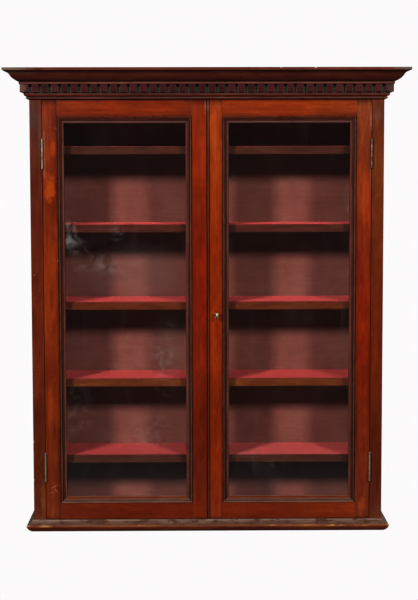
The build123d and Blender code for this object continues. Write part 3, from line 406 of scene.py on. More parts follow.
def faded_baize(name, base, deep, pale, nap, across="Z", soil=0.5, rib=0.0, paler_right=0.0):
    """Napped wool cloth: a felted weave, faded in soft clouds, with lint and drifts of dust.

    across: the axis that the cloth faces along. nap: the strength of its sheen. soil: how dusty it is.
    rib: the strength of its cross ribs. paler_right: how far its right-hand half is paler."""
    s = Shade(name)
    where = s.position()
    cloud = s.noise(where, 3.2, 4.0, 0.55)
    blot = s.noise(where, 17.0, 4.0, 0.65)
    tone = s.math("MULTIPLY_ADD", cloud, 0.62, s.times(blot, 0.38))
    colour = s.ramp(tone, [(0.34, deep), (0.50, base), (0.68, pale)])
    # threads both ways, mostly hidden by the nap
    spread = s.noise(where, 240.0, 2.0, 0.6)
    threads = []
    places = s.split(where)
    for axis in {"Z": "XY", "Y": "XZ"}[across]:
        wave = s.math("MULTIPLY_ADD", places[axis], 2 * math.pi / THREAD, s.times(spread, 5.0))
        threads.append(s.math("SINE", wave))
    weave = s.math("MULTIPLY_ADD", s.times(*threads), 0.5, 0.5)
    hair = s.noise(where, 1500.0, 3.0, 0.75)
    fuzz = s.noise(where, 620.0, 4.0, 0.8, 1.5)
    fleck = s.math("MULTIPLY_ADD", hair, 0.55, s.times(fuzz, 0.45))
    colour = s.mix(s.span(fleck, 0.38, 0.64, 0.0, 0.42), colour, tuple(0.55 * c for c in deep))
    colour = s.mix(s.times(weave, 0.10), colour, pale)
    # lint, and dust gathered in drifts
    lint = s.span(s.cells(where, 210.0), 0.085, 0.03)
    lint = s.times(lint, s.span(s.noise(where, 31.0, 3.0), 0.52, 0.62))
    colour = s.mix(s.times(lint, 0.55), colour, (0.50, 0.36, 0.32))
    drift = s.span(s.noise(where, 9.0, 5.0, 0.7, 0.8), 0.45, 0.72)
    colour = s.mix(s.times(drift, 0.22 * soil), colour, (0.30, 0.17, 0.15))
    if across == "Z":
        # painted shade: the cut edges that face forward are darkened
        front_face_shade = s.span(s.split(s.normal())["Y"], -0.35, -0.8)
        colour = s.mix(s.times(front_face_shade, 0.75), colour, (0.16, 0.026, 0.028))
    if paler_right:
        to_right = s.span(places["X"], 0.0, 0.09, 0.0, paler_right)
        colour = s.mix(to_right, colour, (0.66, 0.20, 0.185))
    if rib:
        ribs = s.noise(s.stretch((0.06, 1.0, 1.0)), 230.0, 3.0, 0.6, 0.2)
        level = s.span(ribs, 0.30, 0.70, 1.0 - rib, 1.0 + rib, smooth=False)
        colour = s.scaled(colour, level)
    height = s.math("MULTIPLY_ADD", weave, 0.35, s.times(fleck, 0.8))
    bump = s.bump(height, 0.55, 0.0007)
    bump = s.bump(s.noise(where, 42.0, 3.0), 0.30, 0.0022, bump)
    s.surface(Base_Color=colour, Roughness=0.95, Specular_IOR_Level=0.12, Sheen_Weight=nap,
              Sheen_Roughness=0.35, Sheen_Tint=(1.0, 0.16, 0.16), Normal=bump)
    return s.material


def old_glass(name, node, smears, veils=()):
    """A clear pane with a thin film of dust and wiping marks. Lamps shine through it.

    smears: (across, up, width, height, strength) of each cloudy mark, as shares of the pane.
    veils: the same for smooth ones."""
    s = Shade(name)
    where = s.position()
    low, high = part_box(node)
    wipe = s.noise(s.stretch((1.0, 1.0, 0.35), (0.4, 0.0, 0.2)), 9.0, 4.0, 0.6, 2.2)
    film = s.span(wipe, 0.50, 0.80, 0.0, 0.012)
    film = s.math("ADD", film, s.span(share(s, node, "Z", 0.02), 0.14, 0.06, 0.0, 0.012))
    wisps = s.span(s.noise(where, 26.0, 5.0, 0.62, 1.8), 0.42, 0.72)
    for marks, broken in ((smears, wisps), (veils, 1.0)):
        for across, up, width, height, strength in marks:
            centre = (low.x + across * (high.x - low.x), 0.0, low.z + up * (high.z - low.z))
            spread = (1.0 / (width * (high.x - low.x)), 0.0, 1.0 / (height * (high.z - low.z)))
            move = tuple(-c * k for c, k in zip(centre, spread))
            away = s.node("Mapping", {0: where, 1: move, 3: spread}).outputs[0]
            cloudy = s.times(s.span(s.length(away), 0.5, 0.1), broken)
            film = s.math("MULTIPLY_ADD", cloudy, strength, film)
    speck = s.span(s.cells(where, 60.0), 0.045, 0.02)
    chosen = s.span(s.noise(where, 23.0, 2.0), 0.60, 0.64)
    film = s.math("MULTIPLY_ADD", s.times(speck, chosen), 0.22, film)
    pane = s.node("BsdfPrincipled", {"Base Color": (0.965, 0.985, 0.975), "Roughness": 0.0,
                                     "IOR": 1.5, "Transmission Weight": 1.0,
                                     "Normal": s.bump(s.noise(where, 5.0, 2.0), 0.05, 0.003)})
    dusty = s.node("BsdfPrincipled", {"Base Color": (0.46, 0.44, 0.43), "Roughness": 0.9})
    seen = s.node("MixShader", {0: film, 1: pane.outputs[0], 2: dusty.outputs[0]})
    path = s.node("LightPath").outputs
    open_to_light = s.math("MAXIMUM", path["Is Shadow Ray"], path["Is Diffuse Ray"])
    clear = s.node("BsdfTransparent", {"Color": (0.95, 0.965, 0.955)})
    both = s.node("MixShader", {0: open_to_light, 1: seen.outputs[0], 2: clear.outputs[0]})
    s.tree.links.new(both.outputs[0], s.out.inputs[0])
    return s.material


def dress(names, material):
    """Gives CAD nodes a material in all of their slots."""
    for name in [names] if isinstance(names, str) else names:
        slots = nodes[name].data.materials
        if not slots:
            slots.append(material)
        for i in range(len(slots)):
            slots[i] = material


# ---------------------------------------------------------------- wood
# Colours of upright members go from the foot, 0, to the head, 1. Besides the wood's own changes of tone, they
# mostly grow lighter towards the head: painted light for the brighter light that falls there.

CASE = (0.120, 0.032, 0.0150)
COLUMNS = {
    "left": [(0.02, (0.165, 0.047, 0.020)), (0.10, (0.110, 0.026, 0.010)), (0.25, (0.115, 0.022, 0.009)),
             (0.40, (0.145, 0.025, 0.008)), (0.62, (0.128, 0.024, 0.008)), (0.78, (0.100, 0.021, 0.010)),
             (0.88, (0.108, 0.032, 0.021)), (1.00, (0.150, 0.042, 0.018))],
    "right": [(0.02, (0.135, 0.038, 0.020)), (0.09, (0.105, 0.024, 0.009)), (0.25, (0.108, 0.018, 0.005)),
              (0.40, (0.150, 0.024, 0.005)), (0.58, (0.140, 0.026, 0.006)), (0.77, (0.148, 0.037, 0.012)),
              (0.90, (0.128, 0.028, 0.010)), (0.95, (0.145, 0.042, 0.022))],
}
HINGE_STILES = {
    "left": [(0.05, (0.175, 0.034, 0.010)), (0.18, (0.145, 0.024, 0.005)), (0.35, (0.165, 0.024, 0.004)),
             (0.60, (0.230, 0.037, 0.005)), (0.76, (0.150, 0.022, 0.005)), (0.85, (0.190, 0.029, 0.007)),
             (0.94, (0.160, 0.028, 0.010)), (0.98, (0.215, 0.040, 0.014))],
    "right": [(0.03, (0.165, 0.033, 0.011)), (0.10, (0.160, 0.027, 0.010)), (0.25, (0.155, 0.020, 0.004)),
              (0.40, (0.220, 0.022, 0.002)), (0.55, (0.240, 0.024, 0.003)), (0.64, (0.195, 0.025, 0.005)),
              (0.75, (0.290, 0.046, 0.008)), (0.88, (0.205, 0.040, 0.011)), (1.00, (0.240, 0.060, 0.020))],
}
MEETING_STILES = {
    "left": [(0.02, (0.185, 0.029, 0.005)), (0.09, (0.135, 0.018, 0.005)), (0.25, (0.140, 0.014, 0.002)),
             (0.40, (0.200, 0.021, 0.003)), (0.62, (0.208, 0.018, 0.002)), (0.78, (0.205, 0.024, 0.003)),
             (0.88, (0.290, 0.037, 0.004)), (1.00, (0.230, 0.034, 0.008))],
    "right": [(0.03, (0.200, 0.030, 0.008)), (0.12, (0.225, 0.030, 0.004)), (0.26, (0.185, 0.022, 0.002)),
              (0.45, (0.260, 0.034, 0.003)), (0.64, (0.245, 0.029, 0.002)), (0.80, (0.285, 0.045, 0.005)),
              (0.93, (0.275, 0.049, 0.008)), (1.00, (0.330, 0.070, 0.016))],
}
# from left to right along the rails. The top rails are lighter than the bottom ones: painted light as well as
# tone.
TOP_RAILS = {
    "left": [(0.0, (0.190, 0.033, 0.012)), (0.35, (0.205, 0.030, 0.006)), (0.7, (0.185, 0.025, 0.005)),
             (1.0, (0.165, 0.025, 0.008))],
    "right": [(0.0, (0.230, 0.039, 0.008)), (0.5, (0.265, 0.041, 0.006)), (0.75, (0.220, 0.037, 0.006)),
              (1.0, (0.255, 0.050, 0.011))],
}
BOTTOM_RAILS = {
    "left": [(0.0, (0.155, 0.026, 0.008)), (0.5, (0.147, 0.020, 0.005)), (1.0, (0.157, 0.023, 0.006))],
    "right": [(0.0, (0.165, 0.025, 0.006)), (0.5, (0.170, 0.025, 0.006)), (1.0, (0.228, 0.039, 0.008))],
}
# from a glazing moulding's outer edge, 0, to the glass, 1. Besides dust and wear, the bands hold painted
# light and shade:
# dark quirks in painted shade, the top member darker as it faces down, and the foot lighter with a painted
# highlight on its bead.
MOULD_SIDES = [(0.02, (0.012, 0.004, 0.003)), (0.12, (0.040, 0.012, 0.008)), (0.22, (0.112, 0.048, 0.039)),
               (0.29, (0.100, 0.042, 0.033)), (0.36, (0.022, 0.006, 0.004)), (0.43, (0.026, 0.008, 0.005)),
               (0.53, (0.100, 0.030, 0.022)), (0.72, (0.116, 0.035, 0.026)), (0.85, (0.138, 0.047, 0.036)),
               (0.94, (0.085, 0.025, 0.018)), (1.00, (0.040, 0.012, 0.009))]
MOULD_TOP = [(0.03, (0.050, 0.009, 0.005)), (0.12, (0.092, 0.014, 0.007)), (0.35, (0.046, 0.009, 0.004)),
             (0.55, (0.110, 0.035, 0.028)), (0.75, (0.140, 0.062, 0.055)), (1.0, (0.085, 0.035, 0.030))]
MOULD_FOOT = [(0.03, (0.120, 0.045, 0.030)), (0.12, (0.290, 0.155, 0.125)), (0.25, (0.098, 0.047, 0.035)),
              (0.46, (0.096, 0.046, 0.034)), (0.58, (0.130, 0.056, 0.038)), (0.64, (0.165, 0.034, 0.010)),
              (0.93, (0.165, 0.035, 0.011)), (1.0, (0.200, 0.115, 0.085))]
MOULD_DEEP = 0.017
# from the foot of each moulding on the case, 0, to its top, 1. Besides dust and wear, the bands hold painted
# light and shade:
# light lines on faces and fillets that catch the light, darker bands on faces turned away from it.
CROWN = [(0.00, (0.080, 0.022, 0.016)), (0.05, (0.150, 0.072, 0.060)), (0.10, (0.105, 0.036, 0.029)),
         (0.14, (0.060, 0.015, 0.011)), (0.20, (0.092, 0.022, 0.015)), (0.50, (0.089, 0.022, 0.014)),
         (0.72, (0.088, 0.022, 0.015)), (0.80, (0.170, 0.055, 0.037)), (0.86, (0.135, 0.036, 0.024)),
         (1.00, (0.115, 0.031, 0.020))]
BED = [(0.04, (0.050, 0.005, 0.003)), (0.12, (0.175, 0.068, 0.050)), (0.32, (0.068, 0.020, 0.017)),
       (0.41, (0.100, 0.009, 0.006)), (0.48, (0.160, 0.022, 0.012)), (0.64, (0.115, 0.030, 0.020)),
       (0.74, (0.095, 0.040, 0.032)), (0.98, (0.095, 0.058, 0.048))]
BASE = [(0.00, (0.110, 0.028, 0.018)), (0.25, (0.135, 0.034, 0.018)), (0.37, (0.130, 0.025, 0.007)),
        (0.44, (0.185, 0.050, 0.021)), (0.52, (0.215, 0.074, 0.036)), (0.63, (0.155, 0.058, 0.028)),
        (0.70, (0.126, 0.052, 0.031)), (0.86, (0.112, 0.053, 0.037)), (0.92, (0.240, 0.165, 0.140)),
        (1.00, (0.190, 0.115, 0.095))]
DENTIL = (0.076, 0.018, 0.020)
SHELF_EDGES = ((0.088, 0.0260, 0.0145), (0.100, 0.024, 0.015), (0.155, 0.034, 0.010),
               (0.170, 0.043, 0.012), (0.088, 0.024, 0.015))
PINK_WEAR_AND_HIGHLIGHT = (0.30, 0.130, 0.100)
GREY_BLOOM = (0.150, 0.125, 0.105)
ORANGE = (0.42, 0.085, 0.012)


def palette(node, axis, stops, wander=0.10):
    """A wood's middle colour that changes along the node's box."""
    return lambda s: s.ramp(share(s, node, axis, wander), stops)


def mould_palette(node):
    """The bands of a glazing moulding, which differ on its sides, its top and its foot: painted shade on the
    top, which faces down, and painted light on the foot, which faces up.
    """
    def pick(s):
        beside, above = edge_distances(s, node)
        inward = s.math("DIVIDE", s.math("MINIMUM", beside, above), MOULD_DEEP)
        foot = s.math("LESS_THAN", share(s, node, "Z"), 0.5)
        level = s.mix(foot, s.ramp(inward, MOULD_TOP), s.ramp(inward, MOULD_FOOT))
        return s.mix(s.math("LESS_THAN", above, beside), s.ramp(inward, MOULD_SIDES), level)
    return pick


def grey(*levels):
    """Ramp stops in grey, from (share, level) pairs."""
    return [(at, (level,) * 3) for at, level in levels]


# Multipliers across and along the door members and pilasters, which hold painted shade with some old dirt:
# darker next to the moulding, along the gap between the doors, at the foot above the base, and at the head in
# the shadow of the cornice.
INNER_EDGE = {"left": grey((0.80, 1.0), (0.88, 0.85), (0.95, 0.66), (1.0, 0.45)),
              "right": grey((0.0, 0.65), (0.06, 0.75), (0.18, 0.92), (0.28, 1.0), (0.86, 1.0), (1.0, 0.75))}
MEETING_EDGE = {
    "left": grey((0.0, 0.85), (0.12, 1.0), (0.92, 1.0), (0.955, 0.65), (0.975, 0.12), (1.0, 0.03)),
    # the gap's edge in painted shade, the paler bead, its quirk in painted shade, and the flat of the stile
    "right": [(0.00, (0.05, 0.05, 0.05)), (0.02, (0.50, 0.80, 2.00)), (0.05, (0.64, 1.12, 3.60)),
              (0.085, (0.56, 0.92, 2.60)), (0.105, (0.22, 0.30, 0.60)), (0.125, (0.32, 0.36, 0.60)),
              (0.16, (0.86, 0.86, 0.90)), (0.22, (1, 1, 1)), (0.76, (1, 1, 1)),
              (0.88, (0.84, 0.84, 0.84)), (1.00, (0.55, 0.55, 0.55))],
}
TOP_RAIL_EDGES = grey((0.0, 0.65), (0.12, 0.82), (0.30, 1.0), (0.88, 1.0), (0.94, 0.72), (1.0, 0.28))
BOTTOM_RAIL_EDGES = grey((0.0, 0.45), (0.05, 1.0), (0.88, 1.0), (1.0, 0.85))
SHADED_ENDS = grey((0.0, 0.45), (0.005, 1.0), (0.985, 1.0), (0.992, 0.72), (1.0, 0.28))
MARKS = {
    "left_door_hinge_stile": (
        dict(x=0.70, z=0.885, wide=0.020, tall=0.060, tint=(0.34, 0.062, 0.007), strength=0.70),
        dict(x=0.48, z=0.795, wide=0.036, tall=0.090, tint=(0.38, 0.072, 0.007), strength=0.80, ragged=0.8),
        dict(x=0.45, z=0.610, wide=0.030, tall=0.160, tint=(0.30, 0.050, 0.006), strength=0.4),
        dict(x=0.30, z=0.270, wide=0.016, tall=0.140, tint=ORANGE, strength=0.18, ragged=0.7),
        # a pale line along the outer edge: wear and a painted highlight
        dict(x=0.11, z=0.870, wide=0.0065, tall=0.170, tint=PINK_WEAR_AND_HIGHLIGHT, strength=0.75),
        dict(x=0.96, z=0.622, wide=0.0030, tall=0.007, tint=(0.42, 0.38, 0.38), strength=0.8, ragged=0.4),
        dict(x=0.52, z=0.078, wide=0.0030, tall=0.024, tint=PINK_WEAR_AND_HIGHLIGHT, strength=0.9, turn=62),
        dict(x=0.66, z=0.070, wide=0.0028, tall=0.018, tint=PINK_WEAR_AND_HIGHLIGHT, strength=0.8, turn=-38),
        dict(x=0.36, z=0.064, wide=0.0024, tall=0.022, tint=PINK_WEAR_AND_HIGHLIGHT, strength=0.6, turn=72, ragged=0.7),
        dict(x=0.93, z=0.933, wide=0.0030, tall=0.010, tint=PINK_WEAR_AND_HIGHLIGHT, strength=0.9, turn=-30, ragged=0.5)),
    "right_door_hinge_stile": (
        dict(x=0.58, z=0.780, wide=0.022, tall=0.170, tint=(0.36, 0.070, 0.013), strength=0.45, ragged=0.5),
        dict(x=0.50, z=0.035, wide=0.026, tall=0.040, tint=ORANGE, strength=0.30, ragged=0.8),
        # painted highlights along the right-hand edge near the head
        dict(x=0.94, z=0.820, wide=0.0040, tall=0.130, tint=PINK_WEAR_AND_HIGHLIGHT, strength=0.45, ragged=0.7),
        dict(x=0.97, z=0.955, wide=0.005, tall=0.090, tint=(0.34, 0.19, 0.17), strength=0.85)),
    "left_door_meeting_stile": (
        dict(x=0.70, z=0.860, wide=0.018, tall=0.180, tint=(0.34, 0.050, 0.010), strength=0.45),
        dict(x=0.90, z=0.985, wide=0.006, tall=0.050, tint=PINK_WEAR_AND_HIGHLIGHT, strength=0.60, ragged=0.8)),
    "right_door_meeting_stile": (
        dict(x=0.42, z=0.930, wide=0.022, tall=0.160, tint=(0.42, 0.085, 0.010), strength=0.40),
        dict(x=0.40, z=0.440, wide=0.020, tall=0.200, tint=(0.34, 0.050, 0.005), strength=0.40, ragged=0.7),
        dict(x=0.06, z=0.985, wide=0.005, tall=0.040, tint=PINK_WEAR_AND_HIGHLIGHT, strength=0.50, ragged=0.8)),
    "left_door_top_rail": (
        dict(x=0.38, z=0.62, wide=0.200, tall=0.020, tint=ORANGE, strength=0.15, ragged=0.8),
        dict(x=0.70, z=0.40, wide=0.140, tall=0.014, tint=ORANGE, strength=0.10, ragged=0.8)),
    "pilaster_left": (
        dict(x=0.02, z=0.197, wide=0.0040, tall=0.010, tint=(0.36, 0.28, 0.24), strength=0.8, ragged=0.4),
        dict(x=0.03, z=0.113, wide=0.0036, tall=0.008, tint=(0.36, 0.28, 0.24), strength=0.8, ragged=0.4),
        dict(x=0.25, z=0.560, wide=0.0030, tall=0.006, tint=(0.32, 0.17, 0.11), strength=0.7, ragged=0.4),
        dict(x=0.30, z=0.895, wide=0.030, tall=0.100, tint=(0.090, 0.055, 0.050), strength=0.50, ragged=0.7),
        dict(x=0.88, z=0.870, wide=0.014, tall=0.180, tint=(0.115, 0.062, 0.052), strength=0.70),
        dict(x=0.80, z=0.070, wide=0.020, tall=0.100, tint=(0.26, 0.075, 0.022), strength=0.45, ragged=0.8)),
    "pilaster_right": (
        dict(x=0.45, z=0.900, wide=0.034, tall=0.060, tint=(0.170, 0.085, 0.065), strength=0.45, ragged=0.7),
    ),
    "crown_front": (
        dict(x=0.00, z=0.90, wide=0.190, tall=0.016, tint=(0.165, 0.125, 0.098), strength=0.85, ragged=0.5),
        dict(x=0.02, z=0.70, wide=0.200, tall=0.014, tint=(0.100, 0.062, 0.042), strength=0.55, ragged=0.5),
        dict(x=0.985, z=0.93, wide=0.070, tall=0.010, tint=GREY_BLOOM, strength=0.70, ragged=0.8),
        dict(x=0.680, z=0.97, wide=0.008, tall=0.003, tint=(0.50, 0.42, 0.36), strength=0.8, ragged=0.4),
        dict(x=0.765, z=0.96, wide=0.007, tall=0.004, tint=(0.60, 0.50, 0.42), strength=0.9, ragged=0.4)),
    "dentil_band": (
        dict(x=0.00, z=0.50, wide=0.052, tall=0.040, tint=(0.190, 0.095, 0.080), strength=0.70, ragged=0.3),
        dict(x=1.00, z=0.50, wide=0.052, tall=0.040, tint=(0.110, 0.060, 0.060), strength=0.70, ragged=0.3)),
}


def marks_on(node):
    """The layers for the single marks that a node has."""
    return [mark(node, **facts) for facts in MARKS.get(node, ())]


def polish(node, grain, middle, **settings):
    """Dresses a node in mahogany of its own."""
    dress(node, wood(f"polish_{node}", grain, middle, **settings))


SHINY = dict(rough=0.42, coat=0.6)
for i, side in enumerate(("left", "right")):
    node = f"pilaster_{side}"
    polish(node, "Z", palette(node, "Z", COLUMNS[side]), shift=(0.7 * i, 0.2, 0.31 * i), coat=0.0,
           dust=0.35, wear=0.35, worn=(0.20, 0.065, 0.035), figure=0.8,
           layers=[*marks_on(node), banded(node, "Z", SHADED_ENDS)])
    # the two doors aren't cut from the same board
    step = 1.37 * i
    node = f"{side}_door_hinge_stile"
    polish(node, "Z", palette(node, "Z", HINGE_STILES[side]), shift=(step, 0.1, step), wear=0.30,
           worn=(0.26, 0.065, 0.02), **SHINY,
           layers=[*marks_on(node), banded(node, "X", INNER_EDGE[side], 0.004),
                   banded(node, "Z", SHADED_ENDS)])
    node = f"{side}_door_meeting_stile"
    polish(node, "Z", palette(node, "Z", MEETING_STILES[side]), shift=(step + 0.43, 0.1, 0.57 + step),
           wear=0.35, worn=(0.22, 0.075, 0.04), figure=0.8, **SHINY,
           layers=[banded(node, "X", MEETING_EDGE[side]), *marks_on(node),
                   banded(node, "Z", SHADED_ENDS)])
    node = f"{side}_door_top_rail"
    polish(node, "X", palette(node, "X", TOP_RAILS[side]), shift=(step, 0.3, 0.9), figure=0.8, wear=0.45,
           worn=(0.34, 0.14, 0.09), **SHINY,
           layers=[*marks_on(node), banded(node, "Z", TOP_RAIL_EDGES, 0.002)])
    node = f"{side}_door_bottom_rail"
    polish(node, "X", palette(node, "X", BOTTOM_RAILS[side]), shift=(step, 0.6, 0.2), figure=0.6, wear=0.4,
           worn=(0.20, 0.075, 0.04), rough=0.44, coat=0.5,
           layers=[banded(node, "Z", BOTTOM_RAIL_EDGES, 0.002)])
    node = f"{side}_door_moulding"
    polish(node, "Z", mould_palette(node), shift=(step, 0.2, 0.4), coat=0.35, wear=0.60,
           worn=(0.27, 0.110, 0.062), grime=0.30, dust=0.45, edge=0.0022, figure=0.8, second="X",
           members=lambda s: frame_members(s, node))
    node = f"{side}_door_glazing_beads"
    polish(node, "Z", CASE, shift=(step, 0.2, 0.4), coat=0.1, second="X",
           members=lambda s: frame_members(s, node))


def dust_and_shadow_on_teeth(s, colour):
    """Grey-green dust on the cheeks of the dentils and in their gaps, kept low: above it they stay dark, as
    painted shadow under the crown.
    """
    low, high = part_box("dentil_band")
    returns = cornice_members(s, "dentil_band")
    facing = s.split(s.node("VectorMath", {0: s.normal()}, operation="ABSOLUTE").outputs[0])
    cheek = s.blend_value(returns, facing["X"], facing["Y"])
    place = s.split(s.position())
    set_back = s.blend_value(returns, s.math("SUBTRACT", place["Y"], low.y),
                             s.math("SUBTRACT", high.x, s.math("ABSOLUTE", place["X"])))
    behind = s.span(set_back, 0.004, 0.0075)
    mask = s.math("MAXIMUM", s.span(cheek, 0.5, 0.7), behind)
    # the dust is kept to the lower part, leaving the upper part dark as painted shadow under the crown
    lower = s.span(share(s, "dentil_band", "Z", 0.004), 0.75, 0.55)
    return s.mix(s.times(mask, lower, 0.8), colour, (0.105, 0.110, 0.085))


def one_by_one(pitch, amount):
    """A change of tone from one dentil to the next."""
    def lay(s, colour):
        count = s.math("FLOOR", s.math("DIVIDE", s.split(s.position())["X"], pitch))
        each = s.node("TexWhiteNoise", {"W": count}, noise_dimensions="1D").outputs[0]
        level = s.span(each, 0.0, 1.0, 1.0 - amount, 1.0)
        return s.scaled(colour, level)
    return lay


def rubbed_nosing(node, grain):
    """Bright wood in spots along the nosing, and above it streaks of dust and dark patches between them."""
    def lay(s, colour):
        height = share(s, node, "Z")
        on_nose = s.times(s.span(height, 0.40, 0.50), s.span(height, 0.66, 0.56))
        spots = s.span(s.noise(s.stretch(FLAME[grain], (0.31, 0.0, 0.0)), 62.0, 4.0, 0.7, 0.5), 0.54, 0.66)
        colour = s.mix(s.times(on_nose, spots), colour, (0.50, 0.27, 0.095))
        above = s.span(height, 0.58, 0.70)
        streaks = s.span(s.noise(s.stretch(FLAME[grain], (0.0, 2.0, 0.0)), 120.0, 4.0, 0.65, 0.4), 0.42, 0.62)
        colour = s.mix(s.times(above, streaks, 0.50), colour, (0.225, 0.150, 0.118))
        bare = s.span(s.noise(s.stretch(MOTTLE[grain]), 60.0, 4.0, 0.65), 0.50, 0.62)
        return s.mix(s.times(above, bare, 0.8), colour, (0.075, 0.027, 0.015))
    return lay


LEDGE_DUST = (0.300, 0.280, 0.245)
DENTIL_PITCH = 0.02515
for part, grain in (("front", "X"), ("returns", "Y")):
    node = f"crown_{part}"
    polish(node, grain, palette(node, "Z", CROWN, 0.0), coat=0.0, dust=0.3, wear=0.30,
           worn=(0.20, 0.090, 0.070), grime=0.35, figure=0.8, layers=marks_on(node))
    node = f"base_moulding_{part}"
    polish(node, grain, palette(node, "Z", BASE, 0.0), rough=0.6, coat=0.12, figure=1.1,
           dust=0.12 if part == "front" else 0.6, lint=LEDGE_DUST, wear=0.35, worn=(0.33, 0.15, 0.065),
           grime=0.35, layers=[rubbed_nosing(node, grain)])

dress("dentil_band", wood("polish_dentils", "X", DENTIL, coat=0.2, dust=0.3, wear=0.80, edge=0.0017,
                          worn=(0.090, 0.068, 0.058), second="Y", grime=0.35, figure=0.7,
                          layers=[one_by_one(DENTIL_PITCH, 0.30), *marks_on("dentil_band"), dust_and_shadow_on_teeth],
                          members=lambda s: cornice_members(s, "dentil_band")))
dress("bed_moulding", wood("polish_bed", "X", palette("bed_moulding", "Z", BED, 0.0), coat=0.15, dust=0.35,
                           wear=0.45, worn=(0.17, 0.090, 0.075), second="Y", grime=0.30, figure=0.8,
                           members=lambda s: cornice_members(s, "bed_moulding")))
dress(("side_panel_left", "side_panel_right"), wood("polish_sides", "Z", CASE, coat=0.0, dust=0.35))
dress(("top_board", "bottom_board", "frieze_rail", "plinth_rail"),
      wood("polish_boards", "X", CASE, rough=0.85, coat=0.0, gloss=0.03, dust=0.35))
for i, middle in enumerate(SHELF_EDGES, 1):
    polish(f"shelf_{i}", "X", middle, shift=(0.37 * i, 0.2 * i, 0.11 * i), coat=0.2, wear=0.4,
           worn=(0.14, 0.045, 0.022))
dress("door_stops", wood("polish_stops", "X", CASE, coat=0.15))
dress("back_boards", plain_pine("pine_boards", "Z"))
dress(("hanging_rail_top", "hanging_rail_bottom"), plain_pine("pine_rails", "X"))

# ---------------------------------------------------------------- metal and glass

# painted light on the lower hinges and painted shade on the upper ones, most on the right
dress(("hinge_frame_leaves", "hinge_pins", "left_door_hinge_leaves", "right_door_hinge_leaves"),
      aged_brass("hinge_brass", (0.58, 0.46, 0.31), (0.22, 0.155, 0.100), painted_levels=(1.30, 0.80, 0.48)))
dress(("escutcheon", "door_bolt_top", "door_bolt_bottom", "left_door_bolt_cases", "left_door_screws",
       "right_door_screws"), aged_brass("fitting_brass"))
# the key's bow carries a painted highlight
dress("key", aged_brass("key_metal", (0.62, 0.43, 0.25), (0.14, 0.085, 0.042), 0.20,
                       glint_at=("key", 0.58, 0.60, 0.0042, 0.0125)))
dress(("lock_case", "lock_cover", "lock_bolt", "case_screws"), dull_steel("lock_steel"))
LEFT_SMEARS = ((0.30, 0.62, 0.55, 0.07, 0.09), (0.06, 0.70, 0.20, 0.10, 0.22),
               (0.15, 0.665, 0.20, 0.07, 0.12), (0.43, 0.705, 0.16, 0.06, 0.16),
               (0.80, 0.38, 0.30, 0.26, 0.07), (0.66, 0.18, 0.50, 0.20, 0.05), (0.12, 0.24, 0.35, 0.20, 0.05))
RIGHT_SMEARS = ((0.97, 0.77, 0.10, 0.07, 0.20), (0.98, 0.36, 0.08, 0.08, 0.10),
                (0.30, 0.12, 0.50, 0.12, 0.04))
LEFT_VEILS = ((0.60, 0.600, 0.95, 0.18, 0.030), (0.85, 0.410, 0.50, 0.16, 0.014))
dress("left_door_glass", old_glass("left_pane", "left_door_glass", LEFT_SMEARS, LEFT_VEILS))
dress("right_door_glass", old_glass("right_pane", "right_door_glass", RIGHT_SMEARS))

# ---------------------------------------------------------------- cloth

SHELF_CLOTH = dict(base=(0.45, 0.076, 0.075), deep=(0.36, 0.048, 0.050), pale=(0.52, 0.130, 0.124), nap=0.6)
BACK_CLOTH = dict(base=(0.295, 0.104, 0.085), deep=(0.225, 0.072, 0.060), pale=(0.36, 0.146, 0.125), nap=0.10)
shelf_cloth = faded_baize("baize_shelves", across="Z", **SHELF_CLOTH)
low_shelf_cloth = faded_baize("baize_low_shelf", across="Z", paler_right=0.45, **SHELF_CLOTH)
back_cloth = faded_baize("baize_back", across="Y", soil=1.0, rib=0.06, **BACK_CLOTH)

# the height of each cloth's unevenness, how far its cut edges wander, and the cell of its grid
LAID = dict(wave=0.00035, uneven=0.0012, cell=0.0045)
STRETCHED = dict(wave=0.0006, uneven=0.0008, cell=0.006)
# how many waves there are to a metre, broad and fine, and along the cut edges
BROAD, FINE, CUT = 7.0, 60.0, 55.0


def add_object(name, mesh):
    """Puts a finished bmesh into the scene as an object."""
    data = bpy.data.meshes.new(name)
    mesh.to_mesh(data)
    mesh.free()
    obj = bpy.data.objects.new(name, data)
    bpy.context.scene.collection.objects.link(obj)
    return obj


def rim(rows):
    """The vertices round the edge of a grid, in order."""
    right = [row[-1] for row in rows[:-1]]
    left = [row[0] for row in rows[:0:-1]]
    return rows[0][:-1] + right + rows[-1][:0:-1] + left


